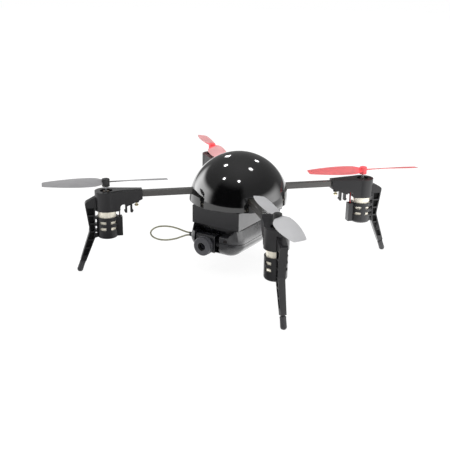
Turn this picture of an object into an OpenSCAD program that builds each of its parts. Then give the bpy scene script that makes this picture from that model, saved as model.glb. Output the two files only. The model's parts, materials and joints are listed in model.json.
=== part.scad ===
// Palm-size quadcopter with a domed canopy, a slide-out battery and a clip-on camera.
// The front faces -Y, the feet stand on Z = 0 and the Z axis runs through the top of the dome.

/* [Arms] */
// Distance from the centre to each motor axis
arm_reach = 63; // [58:0.5:75]
// Height of the arms' centre line above the ground
arm_height = 36.6; // [34:0.1:42]
// Width of the arm tubes
arm_w = 2.6; // [2.3:0.1:3.2]
// Depth of the arm tubes
arm_h = 2.8; // [2.4:0.1:3.4]
// Wall of the arm tubes
arm_wall = 0.55; // [0.4:0.05:0.6]

/* [Dome] */
// Outer radius of the dome
dome_r = 23.9; // [23:0.1:27]
// Wall of the dome
dome_wall = 1.1; // [0.8:0.1:1.5]
// Height of the rim above the centre of the dome's sphere
dome_drop = 1; // [0.5:0.1:2.5]

/* [Main frame] */
// Thickness of the round deck
deck_t = 1.2; // [1:0.1:1.6]
// Height of the pedestals that lift the arms off the deck
pedestal_h = 2.6; // [2:0.1:3.4]
// Wall of the sockets round the arm roots
socket_wall = 1.2; // [0.8:0.1:1.6]
// Length of the sockets along the arms
socket_l = 7.3; // [6:0.1:8]
// Width of the square flight board
board_w = 24; // [22:0.5:26]
// Thickness of the flight board
board_t = 1; // [0.8:0.1:1.6]
// Radius of the power button
button_r = 1.7; // [1.2:0.1:2]
// Travel of the power button
button_travel = 0.5; // [0.3:0.1:0.7]

/* [Battery bay] */
// Outer width of the bay
bay_w = 25.3; // [24.5:0.1:28]
// Outer length of the bay
bay_l = 42; // [40.5:0.5:46]
// Outer height of the bay
bay_h = 8.4; // [7.5:0.1:11]
// Wall of the bay
bay_wall = 1.2; // [0.9:0.1:1.5]
// Length of the battery pack
battery_l = 37; // [32:0.5:37.5]
// Distance between the two camera rails
rail_gauge = 14; // [12:0.5:16]
// Length of the camera rails
rail_l = 30; // [24:0.5:32]

/* [Camera module] */
// Width of the module
cam_w = 28.4; // [27.6:0.1:31]
// Height of the module
cam_h = 13; // [12.5:0.1:14.5]
// Reach of the module's nose ahead of the bay
cam_nose = 2.2; // [1.5:0.1:4]
// Height of the seam between the two shells above the module's bottom
cam_seam_h = 6.6; // [6.4:0.1:7.2]
// Wall of the two shells
cam_wall = 1.2; // [1:0.1:1.5]
// Sideways place of the lens
lens_x = -4.6; // [-5.5:0.1:-4]
// Outer diameter of the lens barrel
lens_d = 9.1; // [8:0.1:9.4]
// Length of the lens barrel
lens_l = 3; // [2.5:0.1:4]
// Diameter of the lens glass
glass_d = 2.6; // [2:0.1:4]

/* [Motor] */
// Diameter of the motor can
motor_d = 8.5; // [8:0.1:9]
// Length of the motor can
motor_l = 18.7; // [18:0.1:20]
// Diameter of the motor shaft
shaft_d = 1; // [0.8:0.1:1.2]

/* [Motor mount] */
// Distance from the motor axis to the mount's inner end
mount_l = 16.5; // [15.5:0.1:18]
// Wall of the mount's sleeve
sleeve_wall = 1.05; // [0.8:0.05:1.3]
// Height of the mount's sleeve
sleeve_h = 9.1; // [8:0.1:10]
// Diameter of the opening over the motor
nose_d = 5.8; // [5:0.1:6.5]

/* [Landing leg] */
// Height of the cage round the motor's lower end
cage_h = 10.2; // [9:0.1:11]
// Wall of the cage
cage_wall = 0.65; // [0.5:0.05:0.8]
// Reach of the knee beyond the motor axis
knee_out = 10.1; // [9:0.1:12]
// Reach of the waist beyond the motor axis
waist_out = 8.3; // [8:0.1:9.5]
// Reach of the foot beyond the motor axis
foot_out = 13.5; // [12:0.1:16]
// Width of the leg at the top
leg_w = 3.4; // [3:0.1:4.2]
// Width of the leg at the foot
leg_tip_w = 2.2; // [2:0.1:2.8]
// Distance between the cross ribs
rib_pitch = 3.95; // [3:0.05:5]
// Radius of the rubber boot
boot_r = 1.35; // [1.2:0.05:1.6]
// Length of the rubber boot
boot_l = 4.2; // [3.5:0.1:5]

/* [Propeller] */
// Diameter of the propeller
prop_d = 57; // [50:0.5:62]
// Largest width of a blade
prop_chord = 8.4; // [6:0.1:9]
// Thickness of a blade
blade_t = 0.8; // [0.6:0.05:1.1]
// Diameter of the hub
hub_d = 3.6; // [2.8:0.1:4]
// Height of the hub
hub_h = 3.6; // [3:0.1:4.5]

/* [Fits] */
// Gap round pieces that slide
slide_gap = 0.25; // [0.2:0.05:0.35]
// Gap round shafts and pins that turn
run_gap = 0.04; // [0.02:0.01:0.08]
// Gap round pieces that are pushed together
push_gap = 0.02; // [0.01:0.01:0.04]
// Gap under pieces that rest on a stop
seat_gap = 0.1; // [0.05:0.05:0.2]

/* [Hidden] */
$fn = 64;
arc_steps = 6;
tube_sides = 8;
blade_ring = 10;
over = 1;
// How far a piece runs into the one that it is moulded with
bite = 0.3;
// How far the outlines of one form stand clear of each other
skim = 0.3;

// Each arm: name, bearing from +X, and 1 where the propeller turns clockwise seen from above
arms = [
    ["front_right", -135, 1],
    ["front_left", -45, -1],
    ["rear_left", 45, 1],
    ["rear_right", 135, -1],
];
arm_pieces = [
    "propeller", "motor_shaft", "motor_winding", "motor_can", "arm_tube", "motor_mount",
    "landing_leg", "foot_boot",
];
single_pieces = [
    "motor_magnets", "motor_bushes", "motor_end_caps", "arm_screws", "red_wires", "black_wires",
    "dome", "main_frame", "frame_screws", "flight_board", "board_chips", "power_button",
    "button_switch", "status_lamp", "battery_bay", "battery_contacts", "battery_pack",
    "battery_cap", "camera_upper_shell", "camera_lower_shell", "camera_screws", "camera_board",
    "camera_lamp", "lens_pod", "lens_barrel", "lens_glass", "aerial_crimp", "aerial_loop",
];

// Heights of the arms, the deck and the bay
arm_top = arm_height + arm_h / 2;
arm_bottom = arm_height - arm_h / 2;
deck_top = arm_bottom - pedestal_h;
deck_bottom = deck_top - deck_t;
bay_bottom = deck_bottom - bay_h;
bay_front = -bay_l / 2;
bay_rear = bay_l / 2;

// Dome, sockets and board
dome_centre = deck_bottom - dome_drop;
dome_inner_r = dome_r - dome_wall;
deck_r = sqrt(pow(dome_inner_r, 2) - pow(dome_drop, 2)) - slide_gap;
tab_inset = 0.15;
socket_inset = 3;
socket_out = dome_inner_r - socket_inset;
socket_in = socket_out - socket_l;
socket_top = arm_top + socket_wall;
arm_setback = 1;
arm_root = socket_in + arm_setback;
board_lift = 0.8;
board_bottom = socket_top + board_lift;
board_top = board_bottom + board_t;
post_r = 1.5;
post_inset = 1.8;
post_reach = board_w / 2 - post_inset;
screw_r = 0.5;
screw_head_r = 1.1;
screw_head_h = 0.8;
post_hole = 4;
tip_space = 0.5;
deck_screw_x = 9;
deck_screw_y = 16;
main_chip_w = 7;
driver_chip_w = 3;
chip_inset = 4.5;
driver_chip_x = board_w / 2 - chip_inset;
chip_h = 1;

// Power button and status lamp, through the deck on either side of the bay
button_x = (bay_w / 2 + deck_r) / 2;
button_flange = 0.8;
button_flange_t = 0.8;
button_reach = 1;
switch_w = 6.6;
switch_h = 3.4;
lamp_r = 1.5;
lamp_flange = 0.7;

// Battery bay, battery and contacts
cavity_w = bay_w - 2 * bay_wall;
cavity_h = bay_h - 2 * bay_wall;
contact_space = 1.6;
contact_t = 0.35;
contact_w = 2.4;
contact_h = 4;
contact_bulge = 0.85;
contact_x = 5;
contact_y = bay_front + bay_wall;
contact_lift = 0.4;
contact_bottom = bay_bottom + bay_wall + contact_lift;
contact_top = contact_bottom + contact_h;
lead_d = 1;
lead_skim = 0.05;
lead_y = contact_y + lead_d / 2 + lead_skim;
battery_front = bay_front + bay_wall + contact_space;
battery_back = battery_front + battery_l;
cap_flange = 1.5;
cap_margin = 0.5;
grip_w = 12;
grip_h = 2.2;
grip_reach = 2.2;
rail_neck = 1.4;
rail_head = 3;
rail_head_h = 0.8;
rail_setback = 9;
rail_front = bay_front + rail_setback;
rail_back = rail_front + rail_l;

// Camera module
cam_gap = 0.2;
cam_top = bay_bottom - cam_gap;
cam_bottom = cam_top - cam_h;
cam_seam = cam_bottom + cam_seam_h;
cam_front = bay_front - cam_nose;
cam_rear = bay_rear;
cam_lip = 1;
cam_web = 0.8;
cam_roof = cam_lip + rail_head_h + 2 * slide_gap + cam_web;
cam_corner_left = 5;
cam_corner_right = 7;
cam_corner_rear = 3;
cam_shoulder = 4.5;
cam_chine_h = 4.4;
cam_chine_w = 4.2;
cam_round = 4;
chin_run = 4.5;
chin_rise = 3.6;
chin_round = 3;
tail_run = 3;
tail_rise = 2;
cam_tail = 2.5 * cam_wall;
nose_drop = 3.4;
nose_run = 3.7;
recess_side = 2.2;
recess_run = 6.5;
rail_head_top = bay_bottom - cam_gap - cam_lip - slide_gap;
rail_bottom = rail_head_top - rail_head_h;

// Lens pod and the pocket that it tilts in
pivot_r = 1;
pivot_setback = 3.6;
pivot_lift = 4.4;
pivot_y = cam_front + pivot_setback;
pivot_z = cam_bottom + pivot_lift;
pivot_depth = 1.8;
pod_w = 10.4;
pod_front = 2.8;
pod_back = 2.2;
pod_up = 4.5;
pod_down = 3.9;
pod_round = 1.4;
pod_toe = 0.5;
lens_drop = 0.7;
lens_z = pivot_z - lens_drop;
pocket_left = lens_x - pod_w / 2 - slide_gap;
pocket_w = 13.7;
pocket_right = pocket_left + pocket_w;
pocket_ease = 0.7;
pocket_back = pivot_y + norm([pod_back, pod_up]) - pocket_ease;
pocket_floor_x = lens_x + pod_w / 2 + slide_gap;
cam_inside = pocket_back + cam_wall;
cam_post_r = 1.7;
cam_post_x = 8.4;
cam_post_inset = 3.4;
cam_screw_bite = 3.4;
cam_board_w = 12.8;
cam_board_t = 1;
cam_board_lift = 1.6;
cam_rib_x = 5;
cam_rib_t = 1;
head_sink = 0.3;
groove_shares = [0.36, 0.42, 0.5, 0.56];
groove_depth = 0.35;
rim_step = 0.1;
rim_round = 0.4;
mouth_depth = 0.6;
mouth_flare = 0.7;
glass_sink = 0.7;
lamp_w = 2.2;
lamp_h = 1.5;
lamp_depth = 0.8;
lamp_gap = 3.2;
lamp_lift = 1.1;
lamp_x = pocket_right + lamp_gap;
lamp_z = cam_seam + lamp_lift;

// Aerial loop: its crimp, and its route out from the crimp's mouth and up from the crimp's middle
crimp_w = 1.2;
crimp_h = 2.2;
crimp_setback = 5.7;
crimp_lift = 5.4;
crimp_reach = 2.4;
crimp_seat = 1.9;
crimp_y = cam_front + crimp_setback;
crimp_z = cam_bottom + crimp_lift;
crimp_end = -cam_w / 2 - crimp_reach;
aerial_d = 0.8;
aerial_bends = [
    [0, 0.6], [1.9, 0.6], [3.9, 0.8], [5.9, 1.1], [7.9, 1.3], [9.9, 1.4], [11.9, 1.3],
    [13.9, 1.1], [15.9, 0.7], [17.9, 0.2], [19.9, -0.6], [21.7, -1.7], [23.1, -3], [23.7, -4.4],
    [23.1, -5.6], [21.6, -6.4], [19.6, -6.7], [17.6, -6.7], [15.6, -6.4], [13.6, -6], [11.6, -5.4],
    [9.6, -4.7], [7.6, -3.9], [5.7, -2.9], [3.9, -2], [2, -1.1], [0, -0.6],
];
aerial_route = [for (bend = aerial_bends) [crimp_end - bend[0], crimp_y, crimp_z + bend[1]]];

// Motor mount, with X measured outward from the motor axis
motor_r = motor_d / 2;
shaft_r = shaft_d / 2;
mount_lip = 0.7;
mount_top = arm_top + mount_lip;
mount_wall = 0.8;
mount_end_w = arm_w + 2 * mount_wall;
mount_end_h = 4.5;
mount_floor = 0.9;
mount_neck_run = 1.2;
mount_neck_rise = 0.9;
mount_blend = 0.15;
sleeve_r = motor_r + sleeve_wall;
sleeve_bottom = mount_top - sleeve_h;
sleeve_lip = 0.9;
arm_stop = 2.7;
arm_end = sleeve_r + arm_stop;
pocket_top = arm_bottom - mount_floor;
end_block = 1.6;
boss_inset = 2.7;
boss_drop = 6.3;
boss_x = -mount_l + boss_inset;
boss_r = 1.25;
boss_bottom = mount_top - boss_drop;
arm_screw_head_r = 1;
arm_screw_head_h = 0.8;
arm_screw_bare = 1;
prong_inset = 2.5;
prong_span = 2.4;
prong_x = [boss_x + prong_inset, boss_x + prong_inset + prong_span];
prong_t = 0.9;
prong_w = 2.2;
prong_drop = 11;
prong_tip = mount_top - prong_drop;
prong_hook = 0.5;
hook_low = 0.9;
hook_high = 1.3;
notch_r = 1.4;
notch_inset = 2.1;
notch_drop = 6.1;
notch_x = -sleeve_r - notch_inset;
notch_top = mount_top - notch_drop;

// Motor
can_wall = 0.35;
can_roof = 0.5;
can_inner_r = motor_r - can_wall;
can_top = mount_top - sleeve_lip;
can_bottom = can_top - motor_l;
cap_plug = 1;
cap_rim = 0.6;
bush_r = 1;
bush_flange_r = 1.5;
bush_flange_h = 0.7;
bush_l = 4;
air_gap = 0.3;
shaft_rest = 0.2;
winding_t = 0.5;
winding_r = can_inner_r - air_gap;
winding_lift = 1.4;
winding_head = 1;
winding_bottom = can_bottom + cap_plug + winding_lift;
winding_top = can_top - can_roof - winding_head;
winding_disc = 0.8;
commutator_r = 1.3;
commutator_h = 1;
magnet_r = winding_r - winding_t - air_gap;

// Landing leg and cage
cage_r = motor_r + cage_wall;
cage_sump = 1.9;
cage_floor = 0.9;
cage_bottom = can_bottom - cage_sump - cage_floor;
cage_top = cage_bottom + cage_h;
cage_round = 1.2;
window_w = 3.4;
window_h = 1.4;
window_pitch = 2.9;
window_drop = 2.4;
window_rows = [cage_top - window_drop, cage_top - window_drop - window_pitch];
window_bearings = [-127, -60, 60, 127];
duct_w = 3.4;
duct_reach = 2.1;
duct_in = cage_r + duct_reach;
duct_bore_w = 1.8;
duct_bore_t = 1.1;
duct_wall = 0.55;
duct_lift = 0.6;
duct_drop = 0.4;
duct_bottom = cage_bottom + duct_lift;
duct_top = cage_top - duct_drop;
leg_top_drop = 2.5;
knee_drop = 5.2;
leg_top_z = mount_top - leg_top_drop;
leg_top_x = sleeve_r - bite;
knee_z = mount_top - knee_drop;
knee_round = 1.6;
waist_lift = 3.7;
waist_z = cage_bottom + waist_lift;
waist_round = 4;
crotch_lift = 0.7;
crotch_z = cage_bottom + crotch_lift;
crotch_round = 2;
leg_gap = 0.1;
crotch_step = 0.3;
flange_x = sleeve_r + leg_gap;
crotch_x = flange_x + crotch_step;
leg_flange = 0.6;
leg_web = 1;
rib_t = 0.7;
rib_drop = 2.2;
first_rib = knee_z - rib_drop;
bridge_t = 1.1;
bridge_w = 2.4;
bridge_bite = 0.9;
bridge_end = flange_x + bridge_bite;
bridge_rows = concat([cage_top - bridge_t / 2], [for (row = window_rows) row - window_pitch / 2]);
strut_bite = 0.5;
strut_lift = 0.5;
strut_end = crotch_x + strut_bite;
strut_low = cage_bottom + strut_lift;
strut_t = 1.5;
boot_flat = 0.35;
boot_neck = 0.4;
boot_centre = boot_r - boot_flat;
boot_pin_r = 0.6;
boot_pin_l = 3;
leg_tip_t = 2.6;
leg_turn = 1.5;
leg_splay = atan((foot_out - (waist_out + crotch_x) / 2) / (waist_z - leg_turn - boot_centre));
leg_along = [-sin(leg_splay), cos(leg_splay)];
leg_across = [cos(leg_splay), sin(leg_splay)];
leg_tip = [foot_out, boot_centre] + (boot_l + boot_neck) * leg_along;
tip_out = leg_tip + leg_tip_t / 2 * leg_across;
tip_in = leg_tip - leg_tip_t / 2 * leg_across;
outer_edge = [[tip_out[1], tip_out[0]], [waist_z, waist_out], [knee_z, knee_out]];
inner_edge = [[tip_in[1], tip_in[0]], [crotch_z, crotch_x], [sleeve_bottom, flange_x]];
pocket_count = floor((first_rib - tip_out[1] - leg_flange) / rib_pitch);

// Motor leads: how they run from the end cap to the flight board
wire_d = 0.6;
wire_y = 0.35;
wire_exit = 2;
wire_bend = 1.2;
wire_inset = 0.2;
duct_x = -cage_r - duct_wall - duct_bore_t / 2 + wire_inset;
sump_z = cage_bottom + cage_floor + wire_d;
cap_bottom = can_bottom - cap_rim;
wire_up = arm_reach - socket_in + wire_bend / 2;
motor_wire = [
    [-wire_exit, cap_bottom], [-wire_exit - wire_bend / 4, (cap_bottom + sump_z) / 2],
    [-wire_exit - wire_bend, sump_z], [duct_x + wire_bend, sump_z],
    [duct_x + wire_bend / 4, sump_z + wire_bend / 3], [duct_x, sump_z + wire_bend], [duct_x, duct_top],
    [duct_x - wire_bend / 6, pocket_top], [duct_x - wire_bend * 2 / 3, arm_height - wire_bend / 2],
    [duct_x - wire_bend * 4 / 3, arm_height], [-arm_end - wire_bend, arm_height],
    [-arm_reach + arm_root, arm_height], [-wire_up + wire_bend / 4, arm_height + wire_bend / 4],
    [-wire_up, arm_height + wire_bend], [-wire_up, board_bottom],
];
// Battery leads, in Y and Z: shares of their run inward and of the height between deck and board
lead_hole_r = 0.7;
lead_run = 9;
lead_bends = [[0, 0.2], [0.1, 0.4], [0.33, 0.6], [0.78, 0.75], [0.95, 0.83], [1, 0.93], [1, 1]];
lead_route = concat(
    [[lead_y, contact_top]],
    [for (bend = lead_bends)
        [lead_y + bend[0] * lead_run, deck_top + bend[1] * (board_bottom - deck_top)]]
);

// Propeller
prop_r = prop_d / 2;
hub_r = hub_d / 2;
hub_gap = 2;
hub_bottom = mount_top + hub_gap;
hub_top = hub_bottom + hub_h;
hub_cap = 0.6;
blade_rise = 0.58;
blade_z = hub_bottom + blade_rise * hub_h;
blade_root = 1;
root_pitch = 20;
tip_pitch = 8;
blade_camber = 0.5;
tip_thinning = 0.4;
blade_stations = [0, 0.04, 0.1, 0.18, 0.28, 0.42, 0.58, 0.74, 0.88, 0.97, 1];
blade_outline = [
    [0, 0.3], [0.04, 0.5], [0.1, 0.78], [0.18, 0.9], [0.28, 0.96], [0.42, 1], [0.58, 0.97], [0.74, 0.88],
    [0.88, 0.75], [0.97, 0.64], [1, 0.54],
];

function unit(v) = v / norm(v);

// Points of the arc that rounds corner b, between its neighbours a and c
function corner_arc(a, b, c, r) =
    let (
        u = unit(a - b),
        v = unit(c - b),
        half = acos(u * v) / 2,
        centre = b + unit(u + v) * r / sin(half),
        p = b + u * r / tan(half) - centre,
        q = b + v * r / tan(half) - centre,
        start = atan2(p[1], p[0]),
        sweep = atan2(p[0] * q[1] - p[1] * q[0], p * q)
    )
    r == 0 ? [b] : [
        for (i = [0 : arc_steps])
            let (angle = start + sweep * i / arc_steps) centre + r * [cos(angle), sin(angle)]
    ];

// Outline with each corner rounded to its own radius
function rounded(points, radii) =
    let (n = len(points))
    [for (i = [0 : n - 1])
        each corner_arc(points[(i + n - 1) % n], points[i], points[(i + 1) % n], radii[i])];

// Faces that close a ring of n points, in strips across it, where base is its first point
function cap_faces(base, n) = concat(
    [[base, base + 1, base + n - 1]],
    [for (j = [1 : n / 2 - 2]) each [
        [base + j, base + j + 1, base + n - j - 1],
        [base + j, base + n - j - 1, base + n - j],
    ]],
    [[base + n / 2 - 1, base + n / 2, base + n / 2 + 1]]
);

// Faces of a skin over rings of n points, closed at both ends
function skin_faces(rings, n) = concat(
    [for (i = [0 : rings - 2]) for (k = [0 : n - 1])
        let (m = (k + 1) % n) each [
            [i * n + k, (i + 1) * n + m, i * n + m],
            [i * n + k, (i + 1) * n + k, (i + 1) * n + m],
        ]],
    cap_faces(0, n),
    [for (face = cap_faces((rings - 1) * n, n)) [face[2], face[1], face[0]]]
);

// Ring of points round step i of a route, with side never along the route
function tube_ring(route, i, d, side) =
    let (
        along = unit(route[min(i + 1, len(route) - 1)] - route[max(i - 1, 0)]),
        across = unit(cross(along, side)),
        up = cross(across, along)
    )
    [for (k = [0 : tube_sides - 1])
        let (angle = 360 * k / tube_sides) route[i] + d / 2 * (cos(angle) * across - sin(angle) * up)];

// Ring of points round a blade at share s of its length, with the leading edge up and at -Y
function blade_section(s) =
    let (
        chord = prop_chord * lookup(s, blade_outline),
        pitch = root_pitch + s * (tip_pitch - root_pitch),
        reach = blade_root + s * (prop_r - blade_root)
    )
    [for (k = [0 : blade_ring - 1])
        let (
            angle = 360 * k / blade_ring,
            y = chord / 2 * cos(angle),
            z = blade_t / 2 * sin(angle) * (1 - tip_thinning * s) + blade_camber * pow(sin(angle), 2) * s
        )
        [reach, y * cos(pitch) + z * sin(pitch), z * cos(pitch) - y * sin(pitch)]];

// A piece made round the motor axis, set on its arm
module at_motor(arm) {
    rotate(arm[1]) translate([arm_reach, 0, 0]) children();
}

// An outline in X and Z, given thickness w across Y
module side_plate(w) {
    rotate([90, 0, 0]) linear_extrude(w, center = true) children();
}

// An outline in Y and Z, given length from x0 to x1
module cross_plate(x0, x1) {
    translate([x0, 0, 0]) rotate([90, 0, 90]) linear_extrude(x1 - x0) children();
}

module tube(route, d, side) {
    rings = [for (i = [0 : len(route) - 1]) each tube_ring(route, i, d, side)];
    polyhedron(rings, skin_faces(len(route), tube_sides));
}

module box(x, y, z) {
    translate([x[0], y[0], z[0]]) cube([x[1] - x[0], y[1] - y[0], z[1] - z[0]]);
}

module rod(r, z0, z1) {
    translate([0, 0, z0]) cylinder(r = r, h = z1 - z0);
}

module screw(head_r, head_h, shank_r, shank_l) {
    cylinder(r = head_r, h = head_h);
    translate([0, 0, -shank_l]) cylinder(r = shank_r, h = shank_l);
}

// Propeller

module blade() {
    rings = [for (s = blade_stations) each blade_section(s)];
    polyhedron(rings, skin_faces(len(blade_stations), blade_ring));
}

module propeller(arm) {
    color(arm[1] < 0 ? "gray" : "salmon") at_motor(arm) mirror([0, arm[2] < 0 ? 1 : 0, 0]) {
        difference() {
            union() {
                rod(hub_r, hub_bottom, hub_top);
                for (turn = [0, 180]) translate([0, 0, blade_z]) rotate(turn) blade();
            }
            rod(shaft_r, hub_bottom - over, hub_top - hub_cap);
        }
    }
}

// Motor

module motor_shaft(arm) {
    color("silver") at_motor(arm) rod(shaft_r, can_bottom + shaft_rest, hub_top - hub_cap);
}

module motor_winding(arm) {
    color("peru") at_motor(arm) difference() {
        union() {
            difference() {
                rod(winding_r, winding_bottom, winding_top);
                rod(winding_r - winding_t, winding_bottom + winding_disc, winding_top + over);
            }
            rod(commutator_r, winding_bottom - commutator_h, winding_bottom + over / 2);
        }
        rod(shaft_r, winding_bottom - commutator_h - over, winding_top + over);
    }
}

module motor_can(arm) {
    color("antiquewhite") at_motor(arm) difference() {
        rod(motor_r, can_bottom, can_top);
        rod(can_inner_r, can_bottom - over, can_top - can_roof);
        rod(bush_r, can_bottom, can_top + over);
    }
}

module motor_magnets() {
    color("dimgray") for (arm = arms) at_motor(arm) difference() {
        rod(magnet_r, winding_bottom + winding_disc + winding_head, can_top - can_roof);
        rod(bush_r, winding_bottom, can_top);
    }
}

module motor_bushes() {
    color("goldenrod") for (arm = arms) at_motor(arm) difference() {
        union() {
            rod(bush_r, can_top - bush_l, can_top + bush_flange_h);
            rod(bush_flange_r, can_top, can_top + bush_flange_h);
        }
        rod(shaft_r + run_gap, can_top - bush_l - over, can_top + bush_flange_h + over);
    }
}

module motor_end_caps() {
    color("ivory") for (arm = arms) at_motor(arm) difference() {
        union() {
            rod(motor_r, can_bottom - cap_rim, can_bottom);
            rod(can_inner_r, can_bottom - cap_rim, can_bottom + cap_plug);
        }
        rod(shaft_r + run_gap, can_bottom, can_bottom + cap_plug + over);
    }
}

// Arm and motor mount

module arm_tube(arm) {
    color("dimgray") rotate(arm[1]) difference() {
        box([arm_root, arm_reach - arm_end], [-arm_w / 2, arm_w / 2], [arm_bottom, arm_top]);
        box(
            [arm_root - over, arm_reach],
            [-arm_w / 2 + arm_wall, arm_w / 2 - arm_wall],
            [arm_bottom + arm_wall, arm_top - arm_wall]
        );
        translate([arm_reach + boss_x, 0, 0]) rod(screw_r, arm_bottom - over, arm_bottom + arm_wall + bite);
    }
}

// Plan of the mount: a bar that widens into the sleeve, all drawn in by inset
module mount_plan(inset) {
    r = sleeve_r - inset;
    w = mount_end_w / 2 - inset;
    circle(r);
    polygon([[-mount_l, -w], [0, -r + mount_blend], [0, r - mount_blend], [-mount_l, w]]);
}

module mount_body() {
    intersection() {
        translate([0, 0, prong_tip]) linear_extrude(mount_top - prong_tip) mount_plan(0);
        side_plate(4 * sleeve_r) polygon([
            [-mount_l, mount_top], [2 * sleeve_r, mount_top], [2 * sleeve_r, sleeve_bottom],
            [-sleeve_r, sleeve_bottom], [-sleeve_r - mount_neck_run, sleeve_bottom + mount_neck_rise],
            [-mount_l, mount_top - mount_end_h],
        ]);
    }
}

// Hollow under the arm, between the end block and the sleeve
module mount_hollow() {
    difference() {
        translate([0, 0, prong_tip]) linear_extrude(pocket_top - prong_tip) mount_plan(mount_wall);
        rod(sleeve_r, prong_tip - over, mount_top);
        box([-mount_l - over, -mount_l + end_block], [-sleeve_r, sleeve_r], [prong_tip - over, mount_top]);
        box([0, 2 * sleeve_r], [-sleeve_r, sleeve_r], [prong_tip - over, mount_top]);
    }
}

module prong(way) {
    side_plate(prong_w) polygon([
        [way * prong_t / 2, pocket_top + bite], [-way * prong_t / 2, pocket_top + bite],
        [-way * prong_t / 2, prong_tip], [way * prong_t / 2, prong_tip],
        [way * (prong_t / 2 + prong_hook), prong_tip + hook_low],
        [way * prong_t / 2, prong_tip + hook_high],
    ]);
}

module motor_mount(arm) {
    color("#2e2d33") at_motor(arm) difference() {
        union() {
            difference() {
                mount_body();
                mount_hollow();
                side_plate(4 * sleeve_r) {
                    translate([notch_x, notch_top - notch_r]) circle(notch_r);
                    translate([notch_x - notch_r, prong_tip])
                        square([2 * notch_r, notch_top - notch_r - prong_tip]);
                }
            }
            translate([boss_x, 0, 0]) rod(boss_r, boss_bottom, pocket_top + bite);
            translate([prong_x[0], 0, 0]) prong(-1);
            translate([prong_x[1], 0, 0]) prong(1);
        }
        box(
            [-mount_l - over, -arm_end],
            [-arm_w / 2 - push_gap, arm_w / 2 + push_gap],
            [arm_bottom - push_gap, arm_top + push_gap]
        );
        box(
            [-arm_end - push_gap, -sleeve_r + mount_blend],
            [-wire_y - wire_d, wire_y + wire_d],
            [pocket_top - over, arm_top]
        );
        rod(motor_r + push_gap, prong_tip - over, can_top);
        rod(nose_d / 2, can_top - over, mount_top + over);
        translate([boss_x, 0, 0]) rod(screw_r, boss_bottom - over, arm_height);
    }
}

module arm_screws() {
    seat = boss_bottom - arm_screw_bare;
    color("darkkhaki") for (arm = arms) at_motor(arm) translate([boss_x, 0, seat]) mirror([0, 0, 1])
        screw(arm_screw_head_r, arm_screw_head_h, screw_r, arm_bottom + arm_wall - seat);
}

// Landing leg

module leg_outline() {
    polygon(rounded(
        [
            [leg_top_x, leg_top_z], [knee_out, knee_z], [waist_out, waist_z], tip_out, tip_in,
            [crotch_x, crotch_z], [flange_x, sleeve_bottom], [leg_top_x, sleeve_bottom],
        ],
        [0, knee_round, waist_round, 0, 0, crotch_round, 0, 0]
    ));
}

// Space between two ribs, i counted down from the first
module leg_pocket(i) {
    high = first_rib - i * rib_pitch - rib_t / 2;
    low = first_rib - (i + 1) * rib_pitch + rib_t / 2;
    polygon([
        [lookup(low, inner_edge) + leg_flange, low], [lookup(low, outer_edge) - leg_flange, low],
        [lookup(high, outer_edge) - leg_flange, high], [lookup(high, inner_edge) + leg_flange, high],
    ]);
}

module leg_beam() {
    difference() {
        intersection() {
            side_plate(leg_w) leg_outline();
            cross_plate(0, 3 * knee_out) polygon([
                [-leg_tip_w / 2, 0], [leg_tip_w / 2, 0], [leg_w / 2, cage_top],
                [leg_w / 2, mount_top], [-leg_w / 2, mount_top], [-leg_w / 2, cage_top],
            ]);
        }
        for (i = [0 : pocket_count - 1], side = [-1, 1])
            translate([0, side * (leg_web + leg_w) / 2, 0]) side_plate(leg_w) leg_pocket(i);
        rod(sleeve_r + push_gap, sleeve_bottom - over, mount_top + over);
    }
}

module cage() {
    rotate_extrude() polygon(concat(
        [[0, cage_bottom]],
        corner_arc([0, cage_bottom], [cage_r, cage_bottom], [cage_r, cage_top], cage_round),
        [[cage_r, cage_top], [0, cage_top]]
    ));
}

module landing_leg(arm) {
    color("#2a2a2c") at_motor(arm) {
        difference() {
            union() {
                cage();
                box([-duct_in, -motor_r], [-duct_w / 2, duct_w / 2], [duct_bottom, duct_top]);
                for (row = bridge_rows) box(
                    [motor_r, bridge_end],
                    [-bridge_w / 2, bridge_w / 2],
                    [row - bridge_t / 2, row + bridge_t / 2]
                );
                side_plate(bridge_w) polygon([
                    [motor_r - cage_round, strut_low], [motor_r, strut_low],
                    [strut_end, crotch_z - strut_t / 2], [strut_end, crotch_z + strut_t / 2],
                    [motor_r, strut_low + strut_t],
                ]);
            }
            rod(motor_r + push_gap, cage_bottom + cage_floor, duct_top + over);
            box(
                [duct_x - duct_bore_t / 2, duct_x + duct_bore_t / 2],
                [-duct_bore_w / 2, duct_bore_w / 2],
                [cage_bottom + cage_floor, duct_top + over]
            );
            box(
                [duct_x, 0],
                [-duct_bore_w / 2, duct_bore_w / 2],
                [cage_bottom + cage_floor, cage_bottom + cage_floor + cage_sump - cap_rim]
            );
            for (row = window_rows, bearing = window_bearings) rotate(bearing) translate([0, 0, row])
                box([0, 2 * cage_r], [-window_w / 2, window_w / 2], [-window_h / 2, window_h / 2]);
        }
        leg_beam();
        translate([foot_out, 0, boot_centre]) rotate([0, -leg_splay, 0])
            rod(boot_pin_r, boot_l - boot_pin_l, boot_l + boot_neck + over);
    }
}

module foot_boot(arm) {
    color("#1c1c1c") at_motor(arm) difference() {
        translate([foot_out, 0, boot_centre]) rotate([0, -leg_splay, 0]) difference() {
            union() {
                sphere(boot_r);
                rod(boot_r, 0, boot_l);
            }
            rod(boot_pin_r, boot_l - boot_pin_l, boot_l + over);
        }
        box([0, 2 * foot_out], [-foot_out, foot_out], [-foot_out, 0]);
    }
}

// Wires

module motor_wires(y) {
    for (arm = arms) at_motor(arm) tube([for (p = motor_wire) [p[0], y, p[1]]], wire_d, [0, 1, 0]);
}

module red_wires() {
    color("firebrick") {
        motor_wires(-wire_y);
        tube([for (p = lead_route) [contact_x, p[0], p[1]]], lead_d, [1, 0, 0]);
    }
}

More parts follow.
